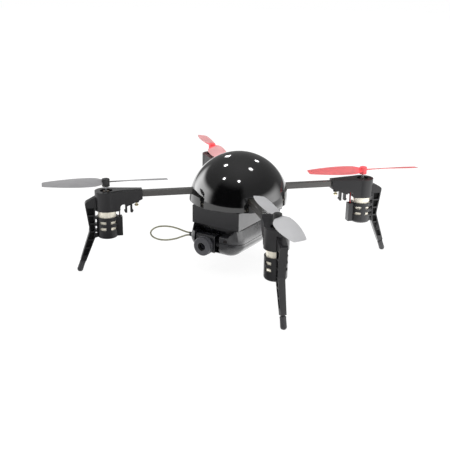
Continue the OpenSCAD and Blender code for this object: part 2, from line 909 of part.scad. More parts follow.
module black_wires() {
    color("#202020") {
        motor_wires(wire_y);
        tube([for (p = lead_route) [-contact_x, p[0], p[1]]], lead_d, [1, 0, 0]);
    }
}

// Dome and main frame

module dome() {
    color("black") difference() {
        translate([0, 0, dome_centre]) difference() {
            sphere(dome_r);
            sphere(dome_inner_r);
        }
        rod(2 * dome_r, dome_centre - 2 * dome_r, deck_bottom + seat_gap);
        for (arm = arms) rotate(arm[1]) box(
            [socket_in, 2 * dome_r],
            [-arm_w / 2 - slide_gap, arm_w / 2 + slide_gap],
            [deck_bottom - over, arm_top + slide_gap]
        );
    }
}

module at_board_posts() {
    for (turn = [0 : 90 : 270]) rotate(turn) translate([post_reach, 0, 0]) children();
}

module at_deck_screws() {
    for (x = [-deck_screw_x, deck_screw_x], y = [-deck_screw_y, deck_screw_y])
        translate([x, y, 0]) children();
}

module main_frame() {
    color("#333333") difference() {
        union() {
            rod(deck_r, deck_bottom, deck_top);
            intersection() {
                for (arm = arms) rotate(arm[1])
                    box([socket_in, 2 * dome_r], [-arm_w / 2, arm_w / 2], [deck_bottom, arm_bottom]);
                translate([0, 0, dome_centre]) sphere(dome_r - tab_inset);
            }
            for (arm = arms) rotate(arm[1]) box(
                [socket_in, socket_out],
                [-arm_w / 2 - socket_wall, arm_w / 2 + socket_wall],
                [deck_bottom, socket_top]
            );
            at_board_posts() rod(post_r, deck_bottom, board_bottom);
        }
        for (arm = arms) rotate(arm[1])
            box([socket_in - over, dome_r], [-arm_w / 2, arm_w / 2], [arm_bottom, arm_top]);
        at_board_posts() rod(screw_r, board_bottom - post_hole, board_bottom + over);
        at_deck_screws() rod(screw_r, deck_bottom - over, deck_top + over);
        for (x = [-contact_x, contact_x]) translate([x, lead_y, 0])
            rod(lead_hole_r, deck_bottom - over, deck_top + over);
        translate([-button_x, 0, 0]) rod(button_r + slide_gap, deck_bottom - over, deck_top + over);
        translate([button_x, 0, 0]) rod(lamp_r, deck_bottom - over, deck_top + over);
    }
}

module frame_screws() {
    color("silver") {
        at_board_posts() translate([0, 0, board_top])
            screw(screw_head_r, screw_head_h, screw_r, board_t + post_hole - tip_space);
        at_deck_screws() translate([0, 0, deck_top])
            screw(screw_head_r, screw_head_h, screw_r, deck_t + bay_wall);
    }
}

module flight_board() {
    color("darkgreen") difference() {
        box([-board_w / 2, board_w / 2], [-board_w / 2, board_w / 2], [board_bottom, board_top]);
        at_board_posts() rod(screw_r, board_bottom - over, board_top + over);
    }
}

// A square chip of width w centred at x, y on the flight board
module chip(x, y, w, h) {
    box([x - w / 2, x + w / 2], [y - w / 2, y + w / 2], [board_top, board_top + h]);
}

module board_chips() {
    color("#151515") {
        chip(0, 0, main_chip_w, chip_h);
        for (x = [-driver_chip_x, driver_chip_x], y = [-driver_chip_x, driver_chip_x])
            chip(x, y, driver_chip_w, chip_h);
    }
}

module power_button() {
    color("firebrick") translate([-button_x, 0, 0]) {
        rod(button_r, deck_bottom - button_reach, deck_top + button_flange_t);
        rod(button_r + button_flange, deck_top + seat_gap / 2, deck_top + button_flange_t);
    }
}

module button_switch() {
    color("#1a1a1a") difference() {
        box(
            [-button_x - switch_w / 2, -button_x + switch_w / 2],
            [-switch_w / 2, switch_w / 2],
            [deck_top, deck_top + switch_h]
        );
        translate([-button_x, 0, deck_top])
            rod(button_r + button_flange + slide_gap, -over, button_flange_t + button_travel + slide_gap);
    }
}

module status_lamp() {
    color("lightcyan") translate([button_x, 0, 0]) {
        rod(lamp_r, deck_bottom, deck_top + lamp_flange);
        rod(lamp_r + lamp_flange, deck_top, deck_top + lamp_flange);
        intersection() {
            translate([0, 0, deck_bottom]) sphere(lamp_r);
            rod(lamp_r, deck_bottom - lamp_r, deck_bottom + over / 2);
        }
    }
}

// Battery bay and battery

module battery_bay() {
    color("#37363a") {
        difference() {
            box([-bay_w / 2, bay_w / 2], [bay_front, bay_rear], [bay_bottom, deck_bottom]);
            box(
                [-cavity_w / 2, cavity_w / 2],
                [bay_front + bay_wall, bay_rear + over],
                [bay_bottom + bay_wall, deck_bottom - bay_wall]
            );
            at_deck_screws() rod(screw_r, deck_bottom - bay_wall - over, deck_bottom + over);
            for (x = [-contact_x, contact_x]) translate([x, lead_y, 0])
                rod(lead_hole_r, deck_bottom - bay_wall - over, deck_bottom + over);
        }
        for (x = [-rail_gauge / 2, rail_gauge / 2]) translate([x, 0, 0]) {
            box([-rail_neck / 2, rail_neck / 2], [rail_front, rail_back], [rail_head_top, bay_bottom]);
            box([-rail_head / 2, rail_head / 2], [rail_front, rail_back], [rail_bottom, rail_head_top]);
        }
    }
}

module battery_contacts() {
    color("goldenrod") for (x = [-contact_x, contact_x]) translate([x, contact_y, 0]) {
        box([-contact_w / 2, contact_w / 2], [0, contact_t], [contact_bottom, contact_top]);
        intersection() {
            translate([0, contact_t, contact_bottom + contact_h / 2]) rotate([0, 90, 0])
                cylinder(r = contact_bulge, h = contact_w, center = true);
            box([-contact_w, contact_w], [contact_t / 2, contact_space], [contact_bottom, contact_top]);
        }
    }
}

module battery_pack() {
    color("slategray") box(
        [-cavity_w / 2 + slide_gap, cavity_w / 2 - slide_gap],
        [battery_front, battery_back],
        [bay_bottom + bay_wall + slide_gap, deck_bottom - bay_wall - slide_gap]
    );
}

module battery_cap() {
    mid = (bay_bottom + deck_bottom) / 2;
    face = bay_rear + seat_gap;
    color("#242424") {
        box(
            [-cavity_w / 2 + slide_gap, cavity_w / 2 - slide_gap],
            [battery_back, face + cap_flange / 2],
            [bay_bottom + bay_wall + slide_gap, deck_bottom - bay_wall - slide_gap]
        );
        box(
            [-bay_w / 2 + cap_margin, bay_w / 2 - cap_margin],
            [face, face + cap_flange],
            [bay_bottom + cap_margin, deck_bottom - cap_margin]
        );
        box(
            [-grip_w / 2, grip_w / 2],
            [face, face + cap_flange + grip_reach],
            [mid - grip_h / 2, mid + grip_h / 2]
        );
    }
}

// Camera module

// Plan of the module: it shapes the front and rear corners
module cam_plan() {
    w = cam_w / 2;
    polygon(rounded(
        [[-w, cam_front], [w, cam_front], [w, cam_rear], [-w, cam_rear]],
        [cam_corner_left, cam_corner_right, cam_corner_rear, cam_corner_rear]
    ));
}

// Section across the module, drawn in by inset: it shapes the sides, the top and the bottom
module cam_section(inset, r) {
    top_w = bay_w / 2 - inset;
    w = cam_w / 2 + skim - inset;
    top = cam_top - inset;
    bottom = cam_bottom + inset;
    polygon(rounded(
        [
            [-top_w, top], [-w, top - cam_shoulder], [-w, bottom + cam_chine_h], [-w + cam_chine_w, bottom],
            [w - cam_chine_w, bottom], [w, bottom + cam_chine_h], [w, top - cam_shoulder], [top_w, top],
        ],
        [0, r, r, r, r, r, r, 0]
    ));
}

// Side view of the module: it shapes the brow, the chin and the tail
module cam_profile() {
    front = cam_front - skim;
    rear = cam_rear + skim;
    top = cam_top + skim;
    bottom = cam_bottom - skim;
    polygon(rounded(
        [
            [front, cam_top - nose_drop], [cam_front + nose_run, top], [rear, top],
            [rear, bottom + tail_rise], [rear - tail_run, bottom], [front + chin_run, bottom],
            [front, bottom + chin_rise],
        ],
        [0, 0, 0, 0, 0, chin_round, chin_round]
    ));
}

module cam_form() {
    intersection() {
        translate([0, 0, cam_bottom - over]) linear_extrude(cam_h + 2 * over) cam_plan();
        translate([0, cam_rear + over, 0]) rotate([90, 0, 0])
            linear_extrude(cam_rear - cam_front + 2 * over) cam_section(0, cam_round);
        cross_plate(-cam_w, cam_w) cam_profile();
    }
}

module cam_cavity() {
    intersection() {
        translate([0, cam_rear - cam_tail, 0]) rotate([90, 0, 0])
            linear_extrude(cam_rear - cam_tail - cam_inside) cam_section(cam_wall + skim, 0);
        box([-cam_w, cam_w], [cam_front, cam_rear], [cam_bottom, cam_top - cam_roof]);
    }
}

// Everything cut out of the nose: the recess under the bay and the lens pocket
module nose_cuts() {
    box(
        [-cam_w / 2 + recess_side, cam_w / 2 - recess_side],
        [cam_front - over, cam_front + recess_run],
        [cam_top - nose_drop, cam_top + over]
    );
    box(
        [pocket_left, pocket_right],
        [cam_front - over, pocket_back],
        [cam_bottom + cam_wall, cam_top - nose_drop + over]
    );
    box(
        [pocket_left, pocket_floor_x],
        [cam_front - over, pocket_back],
        [cam_bottom - over, cam_top - nose_drop]
    );
}

module at_cam_posts() {
    front = cam_inside + cam_post_inset;
    rear = cam_rear - cam_wall - cam_post_inset;
    for (x = [-cam_post_x, cam_post_x], y = [front, rear]) translate([x, y, 0]) children();
}

module camera_upper_shell() {
    color("#29282d") difference() {
        union() {
            difference() {
                intersection() {
                    cam_form();
                    box([-cam_w, cam_w], [cam_front - over, cam_rear + over], [cam_seam, cam_top + over]);
                }
                cam_cavity();
            }
            at_cam_posts() rod(cam_post_r, cam_seam, cam_top - cam_roof + bite);
        }
        nose_cuts();
        at_cam_posts() rod(screw_r, cam_seam - over, cam_seam + cam_screw_bite);
        for (x = [-rail_gauge / 2, rail_gauge / 2]) translate([x, 0, 0]) {
            box(
                [-rail_neck / 2 - slide_gap, rail_neck / 2 + slide_gap],
                [rail_front - slide_gap, cam_rear + over],
                [cam_top - cam_lip - slide_gap, cam_top + over]
            );
            box(
                [-rail_head / 2 - slide_gap, rail_head / 2 + slide_gap],
                [rail_front - slide_gap, cam_rear + over],
                [cam_top - cam_lip - rail_head_h - 2 * slide_gap, cam_top - cam_lip]
            );
        }
        translate([lamp_x, cam_front - over, lamp_z]) rotate([-90, 0, 0]) lamp_form(lamp_depth + over);
    }
}

// Pill-shaped lamp window, made along Z
module lamp_form(h) {
    bar = (lamp_w - lamp_h) / 2;
    for (x = [-bar, bar]) translate([x, 0, 0]) cylinder(d = lamp_h, h = h);
    translate([-bar, -lamp_h / 2, 0]) cube([2 * bar, lamp_h, h]);
}

module camera_lamp() {
    color("#0a0a0a") translate([lamp_x, cam_front, lamp_z]) rotate([-90, 0, 0]) lamp_form(lamp_depth);
}

module crimp_form(inset, x0, x1) {
    cross_plate(x0, x1) translate([crimp_y, crimp_z]) {
        for (z = [-1, 1]) translate([0, z * (crimp_h - crimp_w) / 2]) circle(d = crimp_w + 2 * inset);
        square([crimp_w + 2 * inset, crimp_h - crimp_w], center = true);
    }
}

module camera_lower_shell() {
    color("#29282d") difference() {
        union() {
            difference() {
                intersection() {
                    cam_form();
                    box([-cam_w, cam_w], [cam_front - over, cam_rear + over], [cam_bottom - over, cam_seam]);
                }
                cam_cavity();
            }
            at_cam_posts() rod(cam_post_r, cam_bottom + cam_wall / 2, cam_seam);
            for (x = [-cam_rib_x, cam_rib_x]) box(
                [x - cam_rib_t / 2, x + cam_rib_t / 2],
                [cam_inside + cam_wall, cam_rear - 3 * cam_wall],
                [cam_bottom + cam_wall / 2, cam_bottom + cam_wall + cam_board_lift]
            );
        }
        nose_cuts();
        at_cam_posts() {
            rod(screw_r, cam_bottom - over, cam_seam + over);
            rod(screw_head_r, cam_bottom - over, cam_bottom + screw_head_h + head_sink);
        }
        translate([pocket_left - pivot_depth - run_gap, pivot_y, pivot_z]) rotate([0, 90, 0])
            cylinder(r = pivot_r + run_gap, h = pocket_w + 2 * (pivot_depth + run_gap));
        crimp_form(push_gap, -cam_w, -cam_w / 2 + crimp_seat);
    }
}

module camera_screws() {
    seat = cam_bottom + screw_head_h + head_sink;
    color("silver") at_cam_posts() translate([0, 0, seat]) mirror([0, 0, 1])
        screw(screw_head_r, screw_head_h, screw_r, cam_seam + cam_screw_bite - tip_space - seat);
}

module camera_board() {
    low = cam_bottom + cam_wall + cam_board_lift;
    color("darkgreen") box(
        [-cam_board_w / 2, cam_board_w / 2],
        [cam_inside + cam_wall, cam_rear - 3 * cam_wall],
        [low, low + cam_board_t]
    );
}

module lens_pod() {
    color("#2f2e33") {
        translate([lens_x, pivot_y, pivot_z]) cross_plate(-pod_w / 2, pod_w / 2) polygon(rounded(
            [[-pod_front, -pod_down], [pod_back, -pod_down], [pod_back, pod_up], [-pod_front, pod_up]],
            [pod_toe, pod_round, pod_round, pod_round]
        ));
        translate([pocket_left - pivot_depth, pivot_y, pivot_z]) rotate([0, 90, 0])
            cylinder(r = pivot_r, h = pocket_w + 2 * pivot_depth);
    }
}

// A piece turned about the lens axis, with Z running forward from the pod's face
module at_lens() {
    translate([lens_x, pivot_y - pod_front, lens_z]) rotate([90, 0, 0]) children();
}

module lens_barrel() {
    r = lens_d / 2;
    ring = r - groove_depth;
    front = r - rim_step;
    groove = lens_l * groove_shares;
    color("dimgray") at_lens() difference() {
        rotate_extrude() polygon([
            [0, 0], [r, 0], [r, groove[0]], [ring, groove[1]], [ring, groove[2]], [front, groove[3]],
            [front, lens_l - rim_round], [front - rim_round, lens_l], [0, lens_l],
        ]);
        rod(glass_d / 2, lens_l / 2, lens_l + over);
        translate([0, 0, lens_l - mouth_depth])
            cylinder(r1 = glass_d / 2, r2 = glass_d / 2 + mouth_flare, h = mouth_depth + push_gap);
    }
}

module lens_glass() {
    color("darkslateblue") at_lens() intersection() {
        rod(glass_d / 2, lens_l / 2, lens_l);
        translate([0, 0, lens_l - glass_sink - glass_d]) sphere(glass_d);
    }
}

// Aerial

module aerial_crimp() {
    color("#1b1b1b") crimp_form(0, crimp_end, -cam_w / 2 + crimp_seat);
}

module aerial_loop() {
    color("olive") tube(aerial_route, aerial_d, [0, 1, 0]);
}

for (arm = arms) {
    propeller(arm);
    motor_shaft(arm);
    motor_winding(arm);
    motor_can(arm);
    arm_tube(arm);
    motor_mount(arm);
    landing_leg(arm);
    foot_boot(arm);
}
motor_magnets();
motor_bushes();
motor_end_caps();
arm_screws();
red_wires();
black_wires();
dome();
main_frame();
frame_screws();
flight_board();
board_chips();
power_button();
button_switch();
status_lamp();
battery_bay();
battery_contacts();
battery_pack();
battery_cap();
camera_upper_shell();
camera_lower_shell();
camera_screws();
camera_board();
camera_lamp();
lens_pod();
lens_barrel();
lens_glass();
aerial_crimp();
aerial_loop();
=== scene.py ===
import json
import math

import bmesh
import bpy
from mathutils import Matrix, Vector


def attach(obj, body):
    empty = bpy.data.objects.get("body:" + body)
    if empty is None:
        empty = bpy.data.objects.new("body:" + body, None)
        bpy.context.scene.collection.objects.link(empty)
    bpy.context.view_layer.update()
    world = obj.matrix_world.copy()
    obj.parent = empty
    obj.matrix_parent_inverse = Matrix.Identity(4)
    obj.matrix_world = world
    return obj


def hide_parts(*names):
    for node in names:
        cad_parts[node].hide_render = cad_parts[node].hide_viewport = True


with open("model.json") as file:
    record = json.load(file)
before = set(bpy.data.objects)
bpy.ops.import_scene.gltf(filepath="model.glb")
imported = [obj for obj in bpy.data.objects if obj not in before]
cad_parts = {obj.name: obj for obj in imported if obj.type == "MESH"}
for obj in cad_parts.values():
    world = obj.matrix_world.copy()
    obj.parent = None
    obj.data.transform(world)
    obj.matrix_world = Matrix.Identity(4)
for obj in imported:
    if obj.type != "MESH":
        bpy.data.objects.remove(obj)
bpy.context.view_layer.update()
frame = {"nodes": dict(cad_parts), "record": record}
scene = bpy.context.scene
scene.view_settings.view_transform = "Standard"
mm = 0.001
bodies = frame["record"]["behaviour"]["bodies"]
nodeBody = {node: body for body, nodes in bodies.items() for node in nodes}
# name, bearing of the arm from +X in degrees, 1 where the propeller turns clockwise from above
arms = [("front_right", -135, 1), ("front_left", -45, -1), ("rear_left", 45, 1), ("rear_right", 135, -1)]
armReach = 63.0
past = 1.0  # mm that a cutting block goes past what it cuts
sunk = 0.02  # mm that a small part sinks into what it sits on
print("frame loaded,", len(frame["nodes"]), "nodes")


# small helpers

def hexColour(text):
    shares = [int(text[i:i + 2], 16) / 255 for i in (1, 3, 5)]
    return tuple(s / 12.92 if s <= 0.04045 else ((s + 0.055) / 1.055) ** 2.4 for s in shares) + (1.0,)


def addNode(tree, kind, inputs=None, **settings):
    node = tree.nodes.new(kind)
    for name, value in settings.items():
        setattr(node, name, value)
    for socket, value in (inputs or {}).items():
        if isinstance(value, bpy.types.NodeSocket):
            tree.links.new(value, node.inputs[socket])
        else:
            node.inputs[socket].default_value = value
    return node


def take(shape, *keys):
    return [shape[key] for key in keys]


def turned(degrees, axis):
    return Matrix.Rotation(math.radians(degrees), 4, axis)


def moved(x, y, z):
    return Matrix.Translation(Vector((x, y, z)) * mm)


def atMotor(bearing):
    return turned(bearing, "Z") @ moved(armReach, 0, 0)


def camelName(node):
    head, *rest = node.split("_")
    return head + "".join(word.capitalize() for word in rest)


def newPiece(name, build, *finishes, smooth=40):
    mesh = bpy.data.meshes.new(name)
    build.to_mesh(mesh)
    build.free()
    for finish in finishes:
        mesh.materials.append(finish)
    mesh.shade_smooth()
    mesh.set_sharp_from_angle(angle=math.radians(smooth))
    piece = bpy.data.objects.new(name, mesh)
    scene.collection.objects.link(piece)
    return piece


# the evaluated shape becomes the piece's own plain mesh, and no modifier stays
def plainMesh(piece):
    graph = bpy.context.evaluated_depsgraph_get()
    shaped = piece.evaluated_get(graph)
    made = bpy.data.meshes.new_from_object(shaped, preserve_all_data_layers=True, depsgraph=graph)
    piece.modifiers.clear()
    old = piece.data
    piece.data = made
    bpy.data.meshes.remove(old)
    made.name = piece.name
    return piece


# shading that keeps the broad faces flat beside their rounded edges
def levelFaces(piece):
    level = piece.modifiers.new("flatFaces", "WEIGHTED_NORMAL")
    level.keep_sharp = True
    return plainMesh(piece)


def carve(piece, build, operation):
    tool = newPiece("carvingTool", build)
    change = piece.modifiers.new("carved", "BOOLEAN")
    change.object, change.operation = tool, operation
    change.solver, change.use_self = "EXACT", True
    plainMesh(piece)
    bpy.data.objects.remove(tool)


def settle(piece, slot, *nodes):
    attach(piece, nodeBody[nodes[0]])
    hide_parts(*nodes)
    return piece


# turns a profile of (radius, height) in mm about Z, from the bottom up with the outside to the right
def lathe(build, profile, place, steps=64):
    rings = []
    for radius, height in profile:
        count = 1 if radius < 1e-6 else steps
        turns = [2 * math.pi * k / count for k in range(count)]
        spots = [Vector((radius * math.cos(t), radius * math.sin(t), height)) * mm for t in turns]
        rings.append([build.verts.new(place @ spot) for spot in spots])
    made = []
    for low, high in zip(rings, rings[1:]):
        for k in range(steps):
            n = (k + 1) % steps
            corners = [low[k % len(low)], low[n % len(low)], high[n % len(high)], high[k % len(high)]]
            made.append(build.faces.new(list(dict.fromkeys(corners))))
    return made


def arc(radius, height, size, start, end, count=6):
    angles = [math.radians(start + (end - start) * i / count) for i in range(count + 1)]
    return [(radius + size * math.cos(a), height + size * math.sin(a)) for a in angles]


def addBlock(build, xs, ys, zs):
    low, high = (Vector((xs[i], ys[i], zs[i])) * mm for i in (0, 1))
    size = Matrix.Diagonal(high - low).to_4x4()
    bmesh.ops.create_cube(build, size=1, matrix=Matrix.Translation((low + high) / 2) @ size)


# camera

cameraPlace = {
    "azimuth": 31.84, "elevation": 19.08, "roll": -0.83,  # degrees
    "distance": 359.4, "aside": -6.51, "lift": 17.76,  # mm
    "lens": 59.06, "sensor": 36.0, "clip": (0.01, 60.0),  # mm, and metres for the clip
}


def makeCamera(at):
    azimuth, elevation, roll = (math.radians(at[key]) for key in ("azimuth", "elevation", "roll"))
    level = math.cos(elevation)
    back = Vector((math.sin(azimuth) * level, -math.cos(azimuth) * level, math.sin(elevation)))
    right = Vector((math.cos(azimuth), math.sin(azimuth), 0))
    up = back.cross(right)
    spot = (right * at["aside"] + Vector((0, 0, at["lift"])) + back * at["distance"]) * mm
    across = right * math.cos(roll) - up * math.sin(roll)
    above = right * math.sin(roll) + up * math.cos(roll)
    data = bpy.data.cameras.new("photoCamera")
    data.lens, data.sensor_width = at["lens"], at["sensor"]
    data.clip_start, data.clip_end = at["clip"]
    camera = bpy.data.objects.new("photoCamera", data)
    camera.matrix_world = Matrix.Translation(spot) @ Matrix((across, above, back)).transposed().to_4x4()
    scene.collection.objects.link(camera)
    scene.camera = camera


makeCamera(cameraPlace)
print("camera set")


# finishes: sizes of patterns in mm, tones from dark to pale

finishes = {}


def startFinish(name):
    finish = finishes[name] = bpy.data.materials.new(name)
    finish.use_nodes = True
    tree = finish.node_tree
    place = addNode(tree, "ShaderNodeTexCoord").outputs["Object"]
    return tree, tree.nodes["Principled BSDF"], place


def setSockets(shader, **values):
    for name, value in values.items():
        shader.inputs[name.replace("_", " ")].default_value = value


# what patterns change over a surface: its tone, its sheen and its relief
def varySurface(tree, shader, look, toneBy, sheenBy, reliefBy):
    dark, pale = (hexColour(tone) for tone in look["tones"])
    tone = addNode(tree, "ShaderNodeMix", {0: toneBy, 6: dark, 7: pale}, data_type="RGBA")
    low, high = look.get("noise", (0.3, 0.7))  # the levels that noise mostly stays between
    rough = addNode(tree, "ShaderNodeMapRange", {
        "Value": sheenBy, "From Min": low, "From Max": high,
        "To Min": look["rough"] - look["spread"], "To Max": look["rough"] + look["spread"]})
    bump = addNode(tree, "ShaderNodeBump", {
        "Height": reliefBy, "Strength": look["bump"], "Distance": look["depth"] * mm})
    tree.links.new(tone.outputs[2], shader.inputs["Base Color"])
    tree.links.new(rough.outputs["Result"], shader.inputs["Roughness"])
    tree.links.new(bump.outputs["Normal"], shader.inputs["Normal"])
    return tone.outputs[2], bump.outputs["Normal"]


# injection-moulded plastic or rubber: a spark-eroded grain breaks up the sheen, flow marks shift the tone
def mouldedFinish(name, look):
    tree, shader, place = startFinish(name)
    mottle = addNode(tree, "ShaderNodeTexNoise", {
        "Vector": place, "Scale": 1 / (look["mottle"] * mm), "Detail": 3.0}).outputs["Fac"]
    grain = addNode(tree, "ShaderNodeTexNoise", {
        "Vector": place, "Scale": 1 / (look["grain"] * mm), "Detail": 2.0}).outputs["Fac"]
    varySurface(tree, shader, look, mottle, mottle, grain)
    setSockets(shader, IOR=look["ior"], Coat_Weight=look["coat"], Coat_Roughness=look["coatRough"])


# grain is drawn at 0.25 to 0.4 mm, coarser than the real 0.05 mm, so that it shows at all
moulding = {"spread": 0.06, "ior": 1.5, "grain": 0.3, "bump": 0.2, "depth": 0.03,
            "coat": 0.0, "coatRough": 0.2}
smoothMoulding = {**moulding, "bump": 0.15, "depth": 0.02}
mouldings = {
    "satinBlackAbs": {**moulding, "tones": ("#0c0b0e", "#141317"), "rough": 0.36, "mottle": 6},
    # painted shade for the floors of the legs' pockets, darker than the satin around them
    "mattBlackAbs": {**moulding, "tones": ("#060607", "#0b0b0d"), "rough": 0.75, "ior": 1.35,
                     "mottle": 3, "grain": 0.4, "bump": 0.5, "depth": 0.04},
    "bayGreyAbs": {**moulding, "tones": ("#131216", "#1b1a1f"), "rough": 0.36, "spread": 0.05, "ior": 1.52,
                   "mottle": 8, "bump": 0.12, "coat": 0.4, "coatRough": 0.26},
    "cameraBlackAbs": {**moulding, "tones": ("#141418", "#1d1d22"), "rough": 0.3, "spread": 0.05, "ior": 1.52,
                       "mottle": 7, "bump": 0.1, "coat": 1.0},
    "deckBlackNylon": {**moulding, "tones": ("#1a1a1b", "#272728"), "rough": 0.5, "spread": 0.08, "ior": 1.53,
                       "mottle": 5, "grain": 0.35, "bump": 0.35, "depth": 0.04},
    "bootRubber": {**moulding, "tones": ("#2e2e30", "#3b3b3d"), "rough": 0.62, "spread": 0.08,
                   "mottle": 2, "grain": 0.25, "bump": 0.4, "depth": 0.04},
    "lensRingPaint": {**moulding, "tones": ("#424246", "#525256"), "rough": 0.38, "spread": 0.05,
                      "mottle": 3, "grain": 0.25, "depth": 0.02},
    "baffleBlackPaint": {**moulding, "tones": ("#050505", "#0a0a0b"), "rough": 0.8, "ior": 1.4,
                         "mottle": 2, "grain": 0.25, "bump": 0.3, "depth": 0.02},
    "ivoryNylon": {**moulding, "tones": ("#d8cfb8", "#e8e0cc"), "rough": 0.45, "ior": 1.53, "mottle": 3},
    "chipEpoxy": {**moulding, "tones": ("#131314", "#1f1f20"), "rough": 0.55, "spread": 0.07, "ior": 1.55,
                  "mottle": 1.5, "grain": 0.25, "bump": 0.5, "depth": 0.04},
    "buttonRedAbs": {**smoothMoulding, "tones": ("#8e1518", "#a81d20"), "rough": 0.35, "spread": 0.05,
                     "ior": 1.52, "mottle": 2},
    "redPvcSleeve": {**smoothMoulding, "tones": ("#9c1417", "#c02226"), "rough": 0.33, "ior": 1.53,
                     "mottle": 1.5},
    "blackPvcSleeve": {**smoothMoulding, "tones": ("#161617", "#242426"), "rough": 0.35, "ior": 1.53,
                       "mottle": 1.5},
    "aerialOliveSleeve": {**smoothMoulding, "tones": ("#727057", "#94937b"), "rough": 0.36, "mottle": 2.5},
}
for name, look in mouldings.items():
    mouldedFinish(name, look)


# drawn, turned or plated metal: fine lines of the tool break up the sheen, and a tarnish shifts the tone
def metalFinish(name, look):
    tree, shader, place = startFinish(name)
    lines = addNode(tree, "ShaderNodeMapping", {
        "Vector": place, "Scale": [1 / (size * mm) for size in look["lines"]]})
    streak = addNode(tree, "ShaderNodeTexNoise", {
        "Vector": lines.outputs["Vector"], "Scale": 1.0, "Detail": 2.0}).outputs["Fac"]
    stain = addNode(tree, "ShaderNodeTexNoise", {
        "Vector": place, "Scale": 1 / (look["stain"] * mm), "Detail": 3.0}).outputs["Fac"]
    varySurface(tree, shader, look, stain, streak, streak)
    setSockets(shader, Metallic=look["metallic"])


# lines: width of the tool's marks along X, Y and Z; the cans' cream tint is a lacquer over the nickel, and
# their paleness with little metal is a painted reflection of the white floor
metal = {"spread": 0.06, "bump": 0.25, "depth": 0.01, "lines": (0.3, 0.3, 0.3), "metallic": 1.0}
metals = {
    "lacqueredNickelCan": {**metal, "tones": ("#faf2de", "#fffaec"), "rough": 0.2, "spread": 0.04,
                           "bump": 0.15, "lines": (0.35, 0.35, 12), "stain": 4, "metallic": 0.2},
    "turnedSteel": {**metal, "tones": ("#aeb0b3", "#c8cacc"), "rough": 0.28,
                    "lines": (0.5, 0.5, 0.2), "stain": 2},
    "yellowZinc": {**metal, "tones": ("#c2b68f", "#e2dabd"), "rough": 0.32, "spread": 0.07,
                   "lines": (0.4, 0.4, 0.25), "stain": 0.8},
    # painted shade: a dark bronze for the bushes, where the motor's nose opening lies in shadow
    "oiledBronze": {**metal, "tones": ("#2f2923", "#544737"), "rough": 0.32, "spread": 0.08, "bump": 0.3,
                    "stain": 0.7},
    "stampedBrass": {**metal, "tones": ("#b9964d", "#d3b56f"), "rough": 0.3,
                     "lines": (0.3, 0.8, 0.8), "stain": 2},
    "enamelledCopper": {**metal, "tones": ("#a3562a", "#c77b45"), "rough": 0.34, "bump": 0.8,
                        "lines": (1.5, 1.5, 0.15), "stain": 3},
    "sinteredMagnet": {**metal, "tones": ("#66686b", "#838589"), "rough": 0.45, "bump": 0.4, "stain": 1.5},
    "tinSolder": {**metal, "tones": ("#b4b6b8", "#d2d4d5"), "rough": 0.3, "spread": 0.1, "bump": 0.4,
                  "lines": (0.4, 0.4, 0.4), "stain": 0.6},
    # painted shade for the top face of the motor cans
    "blackOxideSteel": {**metal, "tones": ("#131314", "#202022"), "rough": 0.4, "bump": 0.3, "stain": 1.5},
}
for name, look in metals.items():
    metalFinish(name, look)


# black ABS under clear lacquer: near-black depth, mirror reflections, a trace of orange peel and fine dust
def lacquerFinish(name, look):
    tree, shader, place = startFinish(name)
    peel = addNode(tree, "ShaderNodeTexNoise", {
        "Vector": place, "Scale": 1 / (look["peel"] * mm), "Detail": 1.0}).outputs["Fac"]
    dust = addNode(tree, "ShaderNodeTexNoise", {
        "Vector": place, "Scale": 1 / (look["dust"] * mm), "Detail": 4.0}).outputs["Fac"]
    tone, relief = varySurface(tree, shader, look, dust, dust, peel)
    tree.links.new(relief, shader.inputs["Coat Normal"])
    setSockets(shader, IOR=look["ior"], Coat_Weight=1.0, Coat_Roughness=look["coatRough"])


lacquerFinish("lacqueredBlackAbs", {
    "tones": ("#050506", "#0b0b0c"), "rough": 0.09, "spread": 0.03, "noise": (0.35, 0.75), "ior": 1.52,
    "coatRough": 0.03, "peel": 3, "dust": 0.9, "bump": 0.015, "depth": 0.01})


# pultruded tube: resin-rich streaks run along the arm under a clear skin
def pultrudedFinish(name, look):
    tree, shader, place = startFinish(name)
    along = addNode(tree, "ShaderNodeMapping", {
        "Vector": place, "Rotation": (0, 0, math.radians(look["turn"]))})
    drawn = addNode(tree, "ShaderNodeMapping", {
        "Vector": along.outputs["Vector"], "Scale": [1 / (size * mm) for size in look["streak"]]})
    streak = addNode(tree, "ShaderNodeTexNoise", {
        "Vector": drawn.outputs["Vector"], "Scale": 1.0, "Detail": 3.0}).outputs["Fac"]
    varySurface(tree, shader, look, streak, streak, streak)
    setSockets(shader, IOR=look["ior"], Coat_Weight=1.0, Coat_Roughness=look["coatRough"])


# streaks are drawn 0.3 mm wide, coarser than real fibres, so that they show
armTone = {"tones": ("#262421", "#393631"), "streak": (25, 0.3, 0.3), "rough": 0.43, "spread": 0.07,
           "bump": 0.3, "depth": 0.03, "ior": 1.53, "coatRough": 0.18}
pultrudedFinish("pultrudedArmLeft", {**armTone, "turn": -45})
pultrudedFinish("pultrudedArmRight", {**armTone, "turn": 45})


